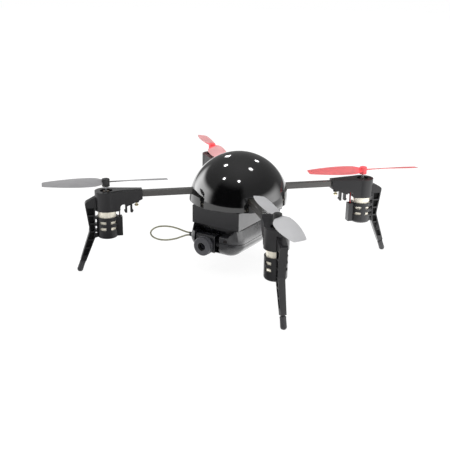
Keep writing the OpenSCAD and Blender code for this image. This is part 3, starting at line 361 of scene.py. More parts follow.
# thin moulded polycarbonate: light comes through the blade, and the tint gathers where the plastic is thick
def bladeFinish(name, look):
    tree, shader, place = startFinish(name)
    reach = addNode(tree, "ShaderNodeAttribute", attribute_name="bladeReach").outputs["Fac"]
    flow = addNode(tree, "ShaderNodeTexNoise", {
        "Vector": place, "Scale": 1 / (look["flow"] * mm), "Detail": 2.0}).outputs["Fac"]
    thin = addNode(tree, "ShaderNodeMapRange", {
        "Value": reach, "From Min": look["from"], "From Max": look["to"]},
        interpolation_type="SMOOTHSTEP").outputs["Result"]
    tint, relief = varySurface(tree, shader, look, flow, flow, flow)
    tone = addNode(tree, "ShaderNodeMix", {0: thin, 6: hexColour(look["hub"]), 7: tint}, data_type="RGBA")
    clear = addNode(tree, "ShaderNodeMapRange", {"Value": thin, "To Min": 0.0, "To Max": look["clear"]})
    tree.links.new(tone.outputs[2], shader.inputs["Base Color"])
    tree.links.new(clear.outputs["Result"], shader.inputs["Transmission Weight"])
    setSockets(shader, IOR=look["ior"])


blade = {"flow": 7, "rough": 0.49, "spread": 0.05, "bump": 0.06, "depth": 0.03, "ior": 1.58}
smokeBlade = {**blade, "hub": "#161617", "from": 0.01, "to": 0.035, "clear": 0.12}
redBlade = {**blade, "hub": "#ff5a62", "from": 0.04, "to": 0.2, "clear": 0.5}
# the two of a colour differ a little in tone: the front right's darker smoke is painted shade and the rear
# right's paler red is painted light, copies of one tint made to match how each propeller is lit
bladeFinish("deepSmokePolycarbonate", {**smokeBlade, "tones": ("#89888a", "#9a999b")})
bladeFinish("smokePolycarbonate", {**smokeBlade, "tones": ("#b0b0b2", "#c0c0c2")})
bladeFinish("redPolycarbonate", {**redBlade, "tones": ("#ff7378", "#ff888b")})
bladeFinish("paleRedPolycarbonate", {**redBlade, "tones": ("#ffb8ba", "#ffc8c9")})


# glass-epoxy board: green solder mask over copper tracks, paler where copper lies below
def boardFinish(name, look):
    tree, shader, place = startFinish(name)
    mask, shade, copper = (hexColour(look[key]) for key in ("mask", "shade", "copper"))
    tracks = addNode(tree, "ShaderNodeTexBrick", {
        "Vector": place, "Scale": 1.0, "Mortar Size": look["track"] * mm, "Mortar Smooth": 0.1,
        "Brick Width": look["pitch"] * 3 * mm, "Row Height": look["pitch"] * mm,
        "Color1": mask, "Color2": shade, "Mortar": copper})
    weave = addNode(tree, "ShaderNodeTexNoise", {
        "Vector": place, "Scale": 1 / (look["weave"] * mm), "Detail": 2.0})
    rough = addNode(tree, "ShaderNodeMapRange", {
        "Value": weave.outputs["Fac"], "From Min": 0.3, "From Max": 0.7,
        "To Min": look["rough"] - look["spread"], "To Max": look["rough"] + look["spread"]})
    bump = addNode(tree, "ShaderNodeBump", {
        "Height": tracks.outputs["Fac"], "Strength": look["bump"], "Distance": look["depth"] * mm})
    tree.links.new(tracks.outputs["Color"], shader.inputs["Base Color"])
    tree.links.new(rough.outputs["Result"], shader.inputs["Roughness"])
    tree.links.new(bump.outputs["Normal"], shader.inputs["Normal"])
    setSockets(shader, IOR=1.55)


boardFinish("greenSolderMask", {
    "mask": "#0d4a26", "shade": "#0b4122", "copper": "#1f6b3c",
    "track": 0.14, "pitch": 0.9, "weave": 0.5, "rough": 0.34, "spread": 0.06, "bump": 0.4, "depth": 0.04})


# aluminium laminate pouch: a soft grey sheen with the creases of a packed cell
def pouchFinish(name, look):
    tree, shader, place = startFinish(name)
    dark, pale = (hexColour(tone) for tone in look["tones"])
    crease = addNode(tree, "ShaderNodeTexVoronoi", {
        "Vector": place, "Scale": 1 / (look["crease"] * mm)}, feature="SMOOTH_F1").outputs["Distance"]
    tone = addNode(tree, "ShaderNodeMix", {0: crease, 6: dark, 7: pale}, data_type="RGBA")
    bump = addNode(tree, "ShaderNodeBump", {
        "Height": crease, "Strength": 0.35, "Distance": look["depth"] * mm})
    tree.links.new(tone.outputs[2], shader.inputs["Base Color"])
    tree.links.new(bump.outputs["Normal"], shader.inputs["Normal"])
    setSockets(shader, Metallic=0.6, Roughness=0.38)


pouchFinish("laminatePouch", {"tones": ("#8d9095", "#b4b7bb"), "crease": 5, "depth": 0.25})


# clear or dark cast resin: gloss on top, a faint cloud inside
def resinFinish(name, look):
    tree, shader, place = startFinish(name)
    dark, pale = (hexColour(tone) for tone in look["tones"])
    cloud = addNode(tree, "ShaderNodeTexNoise", {
        "Vector": place, "Scale": 1 / (look["cloud"] * mm), "Detail": 2.0}).outputs["Fac"]
    tone = addNode(tree, "ShaderNodeMix", {0: cloud, 6: dark, 7: pale}, data_type="RGBA")
    rough = addNode(tree, "ShaderNodeMapRange", {
        "Value": cloud, "To Min": look["rough"], "To Max": look["rough"] + look["spread"]})
    tree.links.new(tone.outputs[2], shader.inputs["Base Color"])
    tree.links.new(rough.outputs["Result"], shader.inputs["Roughness"])
    setSockets(shader, IOR=look["ior"], Transmission_Weight=look["clear"], Coat_Weight=look["coat"])


# the lens's coating cuts its gloss to about a hundredth, which an IOR of 1.22 gives
resins = {
    "coatedLensGlass": {"tones": ("#050509", "#0b0b16"), "rough": 0.05, "spread": 0.03, "ior": 1.22,
                        "clear": 0.0, "coat": 0.0, "cloud": 0.8},
    "smokedLampWindow": {"tones": ("#0c0a0a", "#191415"), "rough": 0.08, "spread": 0.06, "ior": 1.49,
                         "clear": 0.0, "coat": 0.5, "cloud": 0.6},
    "clearLampResin": {"tones": ("#dfe6e6", "#f4f8f8"), "rough": 0.12, "spread": 0.1, "ior": 1.5,
                       "clear": 0.6, "coat": 0.0, "cloud": 1.0},
}
for name, look in resins.items():
    resinFinish(name, look)
print("finishes made:", len(finishes))


# geometry node trees

def startTree(name, **sockets):
    tree = bpy.data.node_groups.new(name, "GeometryNodeTree")
    tree.interface.new_socket("Geometry", in_out="INPUT", socket_type="NodeSocketGeometry")
    tree.interface.new_socket("Geometry", in_out="OUTPUT", socket_type="NodeSocketGeometry")
    for label, kind in sockets.items():
        tree.interface.new_socket(label, in_out="INPUT", socket_type="NodeSocket" + kind)
    tree.interface.new_socket("finish", in_out="INPUT", socket_type="NodeSocketMaterial")
    return tree, addNode(tree, "NodeGroupInput").outputs


def endTree(tree, geometry, finish):
    real = addNode(tree, "GeometryNodeRealizeInstances", {"Geometry": geometry})
    painted = addNode(tree, "GeometryNodeSetMaterial", {
        "Geometry": real.outputs["Geometry"], "Material": finish})
    addNode(tree, "NodeGroupOutput", {"Geometry": painted.outputs["Geometry"]})


# a round wire along a line of points
def makeWireTree():
    tree, given = startTree("wireAlongRoute", diameter="Float", sides="Int")
    route = addNode(tree, "GeometryNodeMeshToCurve", {"Mesh": given["Geometry"]})
    radius = addNode(tree, "ShaderNodeMath", {0: given["diameter"], 1: 0.5}, operation="MULTIPLY")
    ring = addNode(tree, "GeometryNodeCurvePrimitiveCircle", {
        "Resolution": given["sides"], "Radius": radius.outputs[0]})
    skin = addNode(tree, "GeometryNodeCurveToMesh", {
        "Curve": route.outputs["Curve"], "Profile Curve": ring.outputs["Curve"], "Fill Caps": True})
    soft = addNode(tree, "GeometryNodeSetShadeSmooth", {"Geometry": skin.outputs["Mesh"]})
    endTree(tree, soft.outputs["Geometry"], given["finish"])
    return tree


# one small piece repeated on points, each turned about its own axis by a seeded chance
def makeRepeatTree():
    tree, given = startTree("pieceOnPoints", piece="Object", tilt="Vector", mostTurn="Float", seed="Int")
    source = addNode(tree, "GeometryNodeObjectInfo", {"Object": given["piece"], "As Instance": True})
    chance = addNode(tree, "FunctionNodeRandomValue", {"Max": given["mostTurn"], "Seed": given["seed"]})
    turn = addNode(tree, "ShaderNodeCombineXYZ", {"Z": chance.outputs["Value"]})
    copies = addNode(tree, "GeometryNodeInstanceOnPoints", {
        "Points": given["Geometry"], "Instance": source.outputs["Geometry"], "Rotation": given["tilt"]})
    spun = addNode(tree, "GeometryNodeRotateInstances", {
        "Instances": copies.outputs["Instances"], "Rotation": turn.outputs["Vector"]})
    endTree(tree, spun.outputs["Instances"], given["finish"])
    return tree


def grow(name, points, edges, tree, **values):
    mesh = bpy.data.meshes.new(name)
    mesh.from_pydata(points, edges, [])
    piece = bpy.data.objects.new(name, mesh)
    scene.collection.objects.link(piece)
    grown = piece.modifiers.new("grown", "NODES")
    grown.node_group = tree
    for item in tree.interface.items_tree:
        if item.in_out == "INPUT" and item.name in values:
            grown[item.identifier] = values[item.name]
    return plainMesh(piece)


wireTree = makeWireTree()
repeatTree = makeRepeatTree()


# copies of a pattern piece on its seats; the pattern itself goes
def repeatPiece(name, pattern, seats, finish, tilt=0.0, mostTurn=0.0, seed=0):
    spots = [Vector(seat) * mm for seat in seats]
    row = grow(name, spots, [], repeatTree, piece=pattern, tilt=(tilt, 0.0, 0.0), mostTurn=mostTurn,
               seed=seed, finish=finishes[finish])
    bpy.data.objects.remove(pattern)
    return row


print("node trees built")


# aerial loop: one insulated wire, both ends in the crimp at the camera's side

aerialShape = {
    "diameter": 0.8, "sides": 14, "y": -17.5, "steps": 4,
    "route": [  # x and z
        (-16.6, 15.8), (-18.5, 15.8), (-20.5, 16), (-22.5, 16.3), (-24.5, 16.5), (-26.5, 16.6), (-28.5, 16.5),
        (-30.5, 16.3), (-32.5, 15.9), (-34.5, 15.4), (-36.5, 14.6), (-38.3, 13.5), (-39.7, 12.2),
        (-40.3, 10.8), (-39.7, 9.6), (-38.2, 8.8), (-36.2, 8.5), (-34.2, 8.5), (-32.2, 8.8), (-30.2, 9.2),
        (-28.2, 9.8), (-26.2, 10.5), (-24.2, 11.3), (-22.3, 12.3), (-20.5, 13.2), (-18.6, 14.1),
        (-16.6, 14.6)],
}


# points on a smooth curve through the given ones, steps to each span
def smoothRoute(points, steps):
    spots = [Vector(p) for p in points]
    made = []
    for i in range(len(spots) - 1):
        a, b, c, d = spots[max(i - 1, 0)], spots[i], spots[i + 1], spots[min(i + 2, len(spots) - 1)]
        for k in range(steps):
            t = k / steps
            made.append(0.5 * (2 * b + (c - a) * t + (2 * a - 5 * b + 4 * c - d) * t ** 2
                               + (3 * b - a - 3 * c + d) * t ** 3))
    return made + [spots[-1]]


def makeAerial(shape):
    route = smoothRoute([(x * mm, shape["y"] * mm, z * mm) for x, z in shape["route"]], shape["steps"])
    length = sum((b - a).length for a, b in zip(route, route[1:]))
    wire = grow("aerialWire", route, [(i, i + 1) for i in range(len(route) - 1)], wireTree,
                diameter=shape["diameter"] * mm, sides=shape["sides"], finish=finishes["aerialOliveSleeve"])
    settle(wire, "aerial_wire", "aerial_loop")
    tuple(route[0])
    print("aerial loop, mm:", round(length / mm, 1))


makeAerial(aerialShape)


# CAD solids with their edges eased

easing = {"merge": 0.002, "flat": 0.4, "segments": 2, "sharp": 38}  # mm and degrees
# the pockets are outside the cage, and their floors lie within 0.6 mm of the leg's middle plane
legShape = {"pocketFloor": 0.6, "cageRadius": 5.6, "facing": 0.9}


def dressNode(node, finish, slot, ease):
    build = bmesh.new()
    build.from_mesh(frame["nodes"][node].data)
    bmesh.ops.remove_doubles(build, verts=build.verts, dist=easing["merge"] * mm)
    bmesh.ops.dissolve_limit(build, angle_limit=math.radians(easing["flat"]), verts=build.verts,
                             edges=build.edges, use_dissolve_boundaries=False)
    piece = newPiece(camelName(node), build, finishes[finish], smooth=easing["sharp"])
    if ease:
        bevel = piece.modifiers.new("easedEdges", "BEVEL")
        bevel.width, bevel.segments = ease * mm, easing["segments"]
        bevel.limit_method, bevel.angle_limit = "ANGLE", math.radians(easing["sharp"])
        bevel.miter_outer = "MITER_ARC"
        levelFaces(piece)
    return settle(piece, slot, node)


# painted shade: the floors of the ladder's pockets get a darker, matt finish, where the deep pockets fall in
# shadow
def paintPocketShade(leg, bearing, shape):
    leg.data.materials.append(finishes["mattBlackAbs"])
    toLeg = atMotor(bearing).inverted()
    for face in leg.data.polygons:
        spot, facing = toLeg @ face.center / mm, toLeg.to_3x3() @ face.normal
        inPocket = spot.x > shape["cageRadius"] and abs(spot.y) < shape["pocketFloor"]
        if inPocket and abs(facing.y) > shape["facing"]:
            face.material_index = 1


dressList = [  # node, finish, slot, ease
    ("motor_magnets", "sinteredMagnet", "magnet", 0.12),
    # the bushes' dark tone is painted shade for the nose opening
    ("motor_bushes", "oiledBronze", "brass", 0.1),
    ("motor_end_caps", "ivoryNylon", "ivory", 0.12),
    ("red_wires", "redPvcSleeve", "red_sleeve", 0),
    ("black_wires", "blackPvcSleeve", "black_sleeve", 0),
    ("main_frame", "deckBlackNylon", "satin_black", 0.12),
    ("flight_board", "greenSolderMask", "board_green", 0.06),
    ("board_chips", "chipEpoxy", "chip_black", 0.1),
    ("button_switch", "chipEpoxy", "chip_black", 0.2),
    ("battery_bay", "bayGreyAbs", "bay_grey", 0.3),
    ("battery_contacts", "stampedBrass", "brass", 0.06),
    ("battery_pack", "laminatePouch", "cell_wrap", 0.6),
    ("battery_cap", "cameraBlackAbs", "camera_black", 0.35),
    ("camera_board", "greenSolderMask", "board_green", 0.06),
    ("camera_lamp", "smokedLampWindow", "lamp_window", 0.12),
    ("lens_pod", "cameraBlackAbs", "camera_black", 0.25),
    ("aerial_crimp", "blackPvcSleeve", "black_sleeve", 0.15),
]
for armName, bearing, way in arms:
    dressNode("motor_mount_" + armName, "satinBlackAbs", "satin_black", 0.18)
    leg = dressNode("landing_leg_" + armName, "satinBlackAbs", "satin_black", 0.16)
    paintPocketShade(leg, bearing, legShape)
    armFinish = "pultrudedArmRight" if bearing in (-45, 135) else "pultrudedArmLeft"
    dressNode("arm_tube_" + armName, armFinish, "arm_grey", 0.2)
    dressNode("motor_winding_" + armName, "enamelledCopper", "copper", 0.08)
    dressNode("motor_shaft_" + armName, "turnedSteel", "steel", 0.1)
for node, finish, slot, ease in dressList:
    dressNode(node, finish, slot, ease)
print("eased solids:", len(dressList) + 5 * len(arms))


# camera shells: one smooth form, cut for the lens, hollowed, and parted at the seam

cameraShape = {
    "front": -23.2, "rear": 21.0, "low": 9.8, "seam": 16.4, "high": 22.8, "half": 14.2, "topHalf": 12.65,
    "leftCorner": (5.0, 5.0), "rightCorner": (6.8, 5.8), "rearCorner": (3.0, 3.0),  # across and along
    "brow": 3.4, "browRun": 2.8, "browEase": 0.7, "chin": 3.6, "chinRun": 4.5, "tail": 2.0, "tailRun": 3.0,
    "shoulder": 5.6, "chineHigh": 4.4, "chineWide": 4.2, "trims": (0.3, 2.2, 2.4, 2.4), "trimSteps": 6,
    "noseLong": 7, "tailLong": 3, "endRings": 14, "middleRings": 12, "parting": 0.11, "sharp": 35,
    "wall": 1.2, "sideWall": 1.4, "keelWall": 0.7, "chineWall": 0.6, "roof": 3.3,
    "insideFront": -14.09, "insideRear": 18.0,
    "pocket": (-10.05, 3.65), "pocketFloor": 0.85, "pocketBack": -15.29, "pocketRise": 0.5,
    "recess": [(-12.0, -24.2), (6.6, -24.2), (12.0, -20.2), (12.0, -16.7), (-12.0, -16.7)],
    "rails": (-7.0, 7.0), "railFront": -12.25, "railNeck": 1.9, "railHead": 3.5,
    "railFloor": 20.5, "railLip": 21.8, "railLap": 0.3,
    "posts": [(x, y) for x in (-8.4, 8.4) for y in (-10.69, 16.4)], "postRadius": 1.7, "postLap": 0.2,
    "screwRadius": 0.5, "screwTop": 19.8, "headRadius": 1.1, "headSeat": 10.9,
    "lamp": {"x": 6.85, "z": 17.5, "across": 1.15, "tall": 0.8, "deep": 0.8},
    "crimp": {"y": -17.5, "z": 15.2, "wide": 1.05, "tall": 1.75, "deep": -12.2},
    "pivot": {"y": -19.6, "z": 14.2, "radius": 1.15, "reach": (-12.1, 5.7)},
}


# how far a rounded corner of the given size still falls short at distance d from its face
def shortfall(d, size, run):
    return size * (1 - math.sqrt(1 - max(1 - d / run, 0) ** 2))


# a corner turned into a curve that starts and ends the trim away from it
def softCorner(before, corner, after, trim, steps):
    mostShare = 0.45  # of a side, so that two curves on it stay apart
    lead, leave = before - corner, after - corner
    start = corner + lead.normalized() * min(trim, lead.length * mostShare)
    end = corner + leave.normalized() * min(trim, leave.length * mostShare)
    shares = [k / steps for k in range(steps + 1)]
    return [start * (1 - t) ** 2 + corner * 2 * t * (1 - t) + end * t ** 2 for t in shares]


def cameraRing(shape, d):
    fromRear = shape["rear"] - shape["front"] - d
    rear = shortfall(fromRear, *shape["rearCorner"])
    left = shape["half"] - shortfall(d, *shape["leftCorner"]) - rear
    right = shape["half"] - shortfall(d, *shape["rightCorner"]) - rear
    climb = math.sin(min(d / shape["browRun"], 1) * math.pi / 2)
    high = shape["high"] - shape["brow"] * (1 - climb) - shortfall(d, shape["browEase"], shape["browEase"])
    low = shape["low"] + shortfall(d, shape["chin"], shape["chinRun"])
    low += shortfall(fromRear, shape["tail"], shape["tailRun"])
    size = (high - low) / (shape["high"] - shape["low"])
    inset = shape["half"] - shape["topHalf"]
    drop, rise, slant = (shape[key] * size for key in ("shoulder", "chineHigh", "chineWide"))
    corners = [(inset - left, high), (right - inset, high), (right, high - drop), (right, low + rise),
               (right - slant, low), (slant - left, low), (-left, low + rise), (-left, high - drop)]
    corners = [Vector((x, shape["front"] + d, z)) * mm for x, z in corners]
    top, shoulder, chine, keel = (trim * size * mm for trim in shape["trims"])
    trims = [top, top, shoulder, chine, keel, keel, chine, shoulder]
    ring = []
    for i, corner in enumerate(corners):
        after = corners[(i + 1) % len(corners)]
        ring += softCorner(corners[i - 1], corner, after, trims[i], shape["trimSteps"])
    return ring


def cameraForm(shape):
    length = shape["rear"] - shape["front"]
    nose, tail, ends, middle = take(shape, "noseLong", "tailLong", "endRings", "middleRings")
    ease = [1 - math.cos(k / ends * math.pi / 2) for k in range(ends + 1)]
    stations = [nose * t for t in ease]
    stations += [nose + (length - nose - tail) * k / middle for k in range(1, middle)]
    stations += [length - tail * t for t in reversed(ease)]
    build = bmesh.new()
    rings = [[build.verts.new(spot) for spot in cameraRing(shape, d)] for d in stations]
    count = len(rings[0])
    for near, far in zip(rings, rings[1:]):
        for k in range(count):
            build.faces.new((near[k], near[(k + 1) % count], far[(k + 1) % count], far[k]))
    build.faces.new(rings[0])
    build.faces.new(rings[-1])
    bmesh.ops.recalc_face_normals(build, faces=build.faces)
    return newPiece("cameraForm", build, finishes["cameraBlackAbs"])


def addRod(build, spot, radius, low, high, turn=None):
    place = moved(*spot) @ (turn or Matrix.Identity(4)) @ moved(0, 0, (low + high) / 2)
    bmesh.ops.create_cone(build, cap_ends=True, segments=40, radius1=radius * mm, radius2=radius * mm,
                          depth=(high - low) * mm, matrix=place)


# a flat outline pushed along one axis
def addPrism(build, outline, push):
    base = [build.verts.new(spot * mm) for spot in outline]
    made = bmesh.ops.extrude_face_region(build, geom=[build.faces.new(base)])
    pushed = [item for item in made["geom"] if isinstance(item, bmesh.types.BMVert)]
    bmesh.ops.translate(build, verts=pushed, vec=push * mm)
    bmesh.ops.recalc_face_normals(build, faces=build.faces)


def cameraHollows(shape):
    build = bmesh.new()
    low, top, front = shape["low"], shape["high"], shape["insideFront"]
    side, keel = shape["half"] - shape["sideWall"], shape["half"] - shape["chineWide"] - shape["keelWall"]
    ceiling, ground = top - shape["roof"], low + shape["wall"]
    chine = low + shape["chineHigh"] + shape["chineWall"]
    inside = [(-side, ceiling), (side, ceiling), (side, chine),
              (keel, ground), (-keel, ground), (-side, chine)]
    addPrism(build, [Vector((x, front, z)) for x, z in inside], Vector((0, shape["insideRear"] - front, 0)))
    floor = top - shape["brow"]
    addPrism(build, [Vector((x, y, floor)) for x, y in shape["recess"]], Vector((0, 0, shape["brow"] + past)))
    nose = (shape["front"] - past, shape["pocketBack"])
    addBlock(build, shape["pocket"], nose, (ground, floor + shape["pocketRise"]))
    addBlock(build, (shape["pocket"][0], shape["pocketFloor"]), nose, (low - past, floor))
    along = (shape["railFront"], shape["rear"] + past)
    neck, head = shape["railNeck"] / 2, shape["railHead"] / 2
    for x in shape["rails"]:
        addBlock(build, (x - neck, x + neck), along, (shape["railLip"] - shape["railLap"], top + past))
        addBlock(build, (x - head, x + head), along, (shape["railFloor"], shape["railLip"]))
    y, z, wide, tall, deep = shape["crimp"].values()
    addBlock(build, (-shape["half"] - past, deep), (y - wide, y + wide), (z - tall, z + tall))
    y, z, radius, reach = shape["pivot"].values()
    addRod(build, (0, y, z), radius, *reach, turned(90, "Y"))
    return build


def makeCameraShells(shape):
    whole = cameraForm(shape)
    carve(whole, cameraHollows(shape), "DIFFERENCE")
    posts, bores = bmesh.new(), bmesh.new()
    low, high, under = shape["low"], shape["high"], shape["low"] - past
    for x, y in shape["posts"]:
        addRod(posts, (x, y, 0), shape["postRadius"], low + shape["wall"] / 2,
               high - shape["roof"] + shape["postLap"])
        addRod(bores, (x, y, 0), shape["screwRadius"], under, shape["screwTop"])
        addRod(bores, (x, y, 0), shape["headRadius"], under, shape["headSeat"])
    x, z, across, tall, deep = shape["lamp"].values()
    flat, start, end = across - tall, shape["front"] - past, shape["front"] + deep
    addBlock(bores, (x - flat, x + flat), (start, end), (z - tall, z + tall))
    for side in (-1, 1):
        addRod(bores, (x + side * flat, 0, z), tall, -end, -start, turned(90, "X"))
    carve(whole, posts, "UNION")
    carve(whole, bores, "DIFFERENCE")
    wide, ends = shape["half"] + past, (shape["front"] - past, shape["rear"] + past)
    halves = {"camera_lower_shell": (under, shape["seam"] - shape["parting"]),
              "camera_upper_shell": (shape["seam"] + shape["parting"], high + past)}
    for node, heights in halves.items():
        half = whole.copy()
        half.data = whole.data.copy()
        half.name = half.data.name = camelName(node)
        scene.collection.objects.link(half)
        keep = bmesh.new()
        addBlock(keep, (-wide, wide), ends, heights)
        carve(half, keep, "INTERSECT")
        half.data.shade_smooth()
        half.data.set_sharp_from_angle(angle=math.radians(shape["sharp"]))
        settle(levelFaces(half), "camera_black", node)
    bpy.data.objects.remove(whole)


makeCameraShells(cameraShape)
print("camera shells made")


# dome: a polished shell with a rounded rim and four slots for the arms

domeShape = {
    "centre": 30.4, "outer": 23.9, "inner": 22.8, "rim": 31.5, "round": 0.25, "steps": 180, "rings": 60,
    "slotHalf": 1.55, "slotLow": 25, "slotHigh": 38.25, "slotLong": 20, "slotOut": 2,
    "rimStep": 0.3, "facing": 0.99,
}


def makeDome(shape):
    centre, outer, inner, low, ease = take(shape, "centre", "outer", "inner", "rim", "round")
    rimAngle = math.degrees(math.asin((low + ease - centre) / outer))
    insideAngle = math.degrees(math.asin((low - centre) / inner))
    profile = arc(0, centre, inner, 90, insideAngle, shape["rings"])
    profile += arc(outer * math.cos(math.radians(rimAngle)) - ease, low + ease, ease, -90, 0, 4)
    profile += arc(0, centre, outer, rimAngle + shape["rimStep"], 90, shape["rings"])
    profile[0], profile[-1] = (0, centre + inner), (0, centre + outer)
    build = bmesh.new()
    lathe(build, profile, Matrix.Identity(4), shape["steps"])
    piece = newPiece("domeShell", build, finishes["lacqueredBlackAbs"])
    slots = bmesh.new()
    tall = (shape["slotHigh"] - shape["slotLow"]) / 2
    size = Vector((shape["slotLong"], 2 * shape["slotHalf"], 2 * tall)) * mm
    for armName, bearing, way in arms:
        place = turned(bearing, "Z") @ moved(outer + shape["slotOut"], 0, shape["slotLow"] + tall)
        bmesh.ops.create_cube(slots, size=1, matrix=place @ Matrix.Diagonal(size).to_4x4())
    carve(piece, slots, "DIFFERENCE")
    polishDome(piece, shape)
    settle(piece, "gloss_black", "dome")


# both skins shade as true spheres, so that no facet shows in the reflections
def polishDome(piece, shape):
    mesh, middle, normals = piece.data, Vector((0, 0, shape["centre"] * mm)), []
    for polygon in mesh.polygons:
        for loop in polygon.loop_indices:
            spoke = (mesh.vertices[mesh.loops[loop].vertex_index].co - middle).normalized()
            facing = polygon.normal.dot(spoke)
            onSkin = abs(facing) > shape["facing"]
            normals.append(spoke * math.copysign(1, facing) if onSkin else polygon.normal)
    mesh.shade_smooth()
    mesh.normals_split_custom_set(normals)


makeDome(domeShape)
print("dome made")


# propellers: two twisted blades on a hub, smoke at the front and red at the rear

propellerShape = {
    "root": 1.0, "tip": 28.5, "chord": 8.4, "thick": 0.6, "thinning": 0.4, "camber": 0.4,
    "bladeHeight": 42.788, "rootPitch": 20, "tipPitch": 8, "rings": 44, "ring": 28,
    "outline": [(0, 0.42), (0.04, 0.56), (0.1, 0.78), (0.18, 0.9), (0.28, 0.96), (0.42, 1), (0.58, 0.97),
                (0.74, 0.88), (0.88, 0.75), (0.97, 0.64), (1, 0.54)],  # shares of the length and of the chord
    "soften": 0.035,  # the corners of the outline are eased over this share of the length
    "blunt": 0.975, "tipRings": 4, "tipChord": 0.9, "tipThinning": 0.9,
    "hubRadius": 1.8, "hubLow": 40.7, "hubHigh": 44.3, "hubEase": 0.35, "bore": 0.5, "boreTop": 43.7,
    "dimple": 0.8, "dimpleFloor": 0.65, "dimpleDeep": 0.15,
    # the front right and rear right finishes are shaded and lit copies of the other two
    "finishes": {"front_right": "deepSmokePolycarbonate", "front_left": "smokePolycarbonate",
                 "rear_left": "redPolycarbonate", "rear_right": "paleRedPolycarbonate"},
}


def chordShare(outline, s):
    for (s0, c0), (s1, c1) in zip(outline, outline[1:]):
        if s <= s1:
            return c0 + (c1 - c0) * (s - s0) / (s1 - s0)
    return outline[-1][1]


def bladeRings(shape):
    blunt, tipRings = shape["blunt"], shape["tipRings"]
    stations = [i / shape["rings"] * blunt for i in range(shape["rings"] + 1)]
    stations += [1 - (1 - blunt) * (1 - k / tipRings) ** 2 for k in range(1, tipRings + 1)]
    shifts = [shape["soften"] * k / 4 for k in range(-4, 5)]
    for s in stations:
        spread = [chordShare(shape["outline"], min(max(s + shift, 0), 1)) for shift in shifts]
        chord = shape["chord"] * sum(spread) / len(spread)
        beyond = max((s - blunt) / (1 - blunt), 0)
        tipEase = shape["tipChord"] + (1 - shape["tipChord"]) * math.sqrt(1 - beyond ** 2)
        thick = shape["thick"] * (1 - shape["thinning"] * s)
        thick *= math.sqrt(1 - shape["tipThinning"] * beyond ** 2)
        camber = shape["camber"] * s * (1 - s ** 3)
        pitch = math.radians(shape["rootPitch"] + s * (shape["tipPitch"] - shape["rootPitch"]))
        reach = shape["root"] + s * (shape["tip"] - shape["root"])
        ring = []
        for k in range(shape["ring"]):
            angle = 2 * math.pi * k / shape["ring"]
            y = chord / 2 * math.cos(angle) * tipEase
            z = thick / 2 * math.sin(angle) + camber * math.sin(angle) ** 2
            ring.append(Vector((reach, y * math.cos(pitch) + z * math.sin(pitch),
                                z * math.cos(pitch) - y * math.sin(pitch))))
        yield s, ring


def makePropeller(armName, bearing, way, shape):
    build = bmesh.new()
    reachLayer = build.verts.layers.float.new("bladeReach")
    place = atMotor(bearing) @ Matrix.Diagonal((1, way, 1, 1))
    for turn in (0, 180):
        stand = place @ moved(0, 0, shape["bladeHeight"]) @ turned(turn, "Z")
        rings = []
        for share, ring in bladeRings(shape):
            rings.append([build.verts.new(stand @ (spot * mm)) for spot in ring])
            for vert in rings[-1]:
                vert[reachLayer] = share
        count = shape["ring"]
        for low, high in zip(rings, rings[1:]):
            for k in range(count):
                build.faces.new((low[k], low[(k + 1) % count], high[(k + 1) % count], high[k]))
        build.faces.new(rings[0])
        build.faces.new(rings[-1])
    ease, wide, low, high = take(shape, "hubEase", "hubRadius", "hubLow", "hubHigh")
    profile = [(0, shape["boreTop"]), (shape["bore"], shape["boreTop"]), (shape["bore"], low)]
    profile += arc(wide - ease / 2, low + ease / 2, ease / 2, -90, 0, 3)
    profile += arc(wide - ease, high - ease, ease, 0, 90)
    floor = high - shape["dimpleDeep"]
    profile += [(shape["dimple"], high), (shape["dimpleFloor"], floor), (0, floor)]
    lathe(build, profile, place, 48)
    bmesh.ops.recalc_face_normals(build, faces=build.faces)
    finish = finishes[shape["finishes"][armName]]
    piece = newPiece(camelName("propeller_" + armName), build, finish, smooth=50)
    settle(piece, "smoke_blade" if bearing < 0 else "red_blade", "propeller_" + armName)


for armName, bearing, way in arms:
    makePropeller(armName, bearing, way, propellerShape)
print("propellers made")


# motor cans and rubber boots

canShape = {
    "radius": 4.25, "inner": 3.9, "low": 19.1, "high": 37.8, "roof": 0.5, "ease": 0.45, "lipEase": 0.12,
    "hole": 1.0, "groove": 21.2, "grooveDeep": 0.12, "grooveHalf": 0.3, "grooveFloor": 0.12,
    "face": 3.4, "faceEdge": 0.02,
}
bootShape = {
    "out": 13.5, "centre": 1.0, "radius": 1.35, "length": 4.2, "pin": 0.6, "pinDepth": 3.0,
    "neck": 0.95, "collar": 0.28, "ease": 0.3, "band": (1.0, 0.8), "bandStep": 0.05, "lip": 0.02,
    "legTop": (7.0, 18.5),  # out and up, where the leg's lower bar starts
}


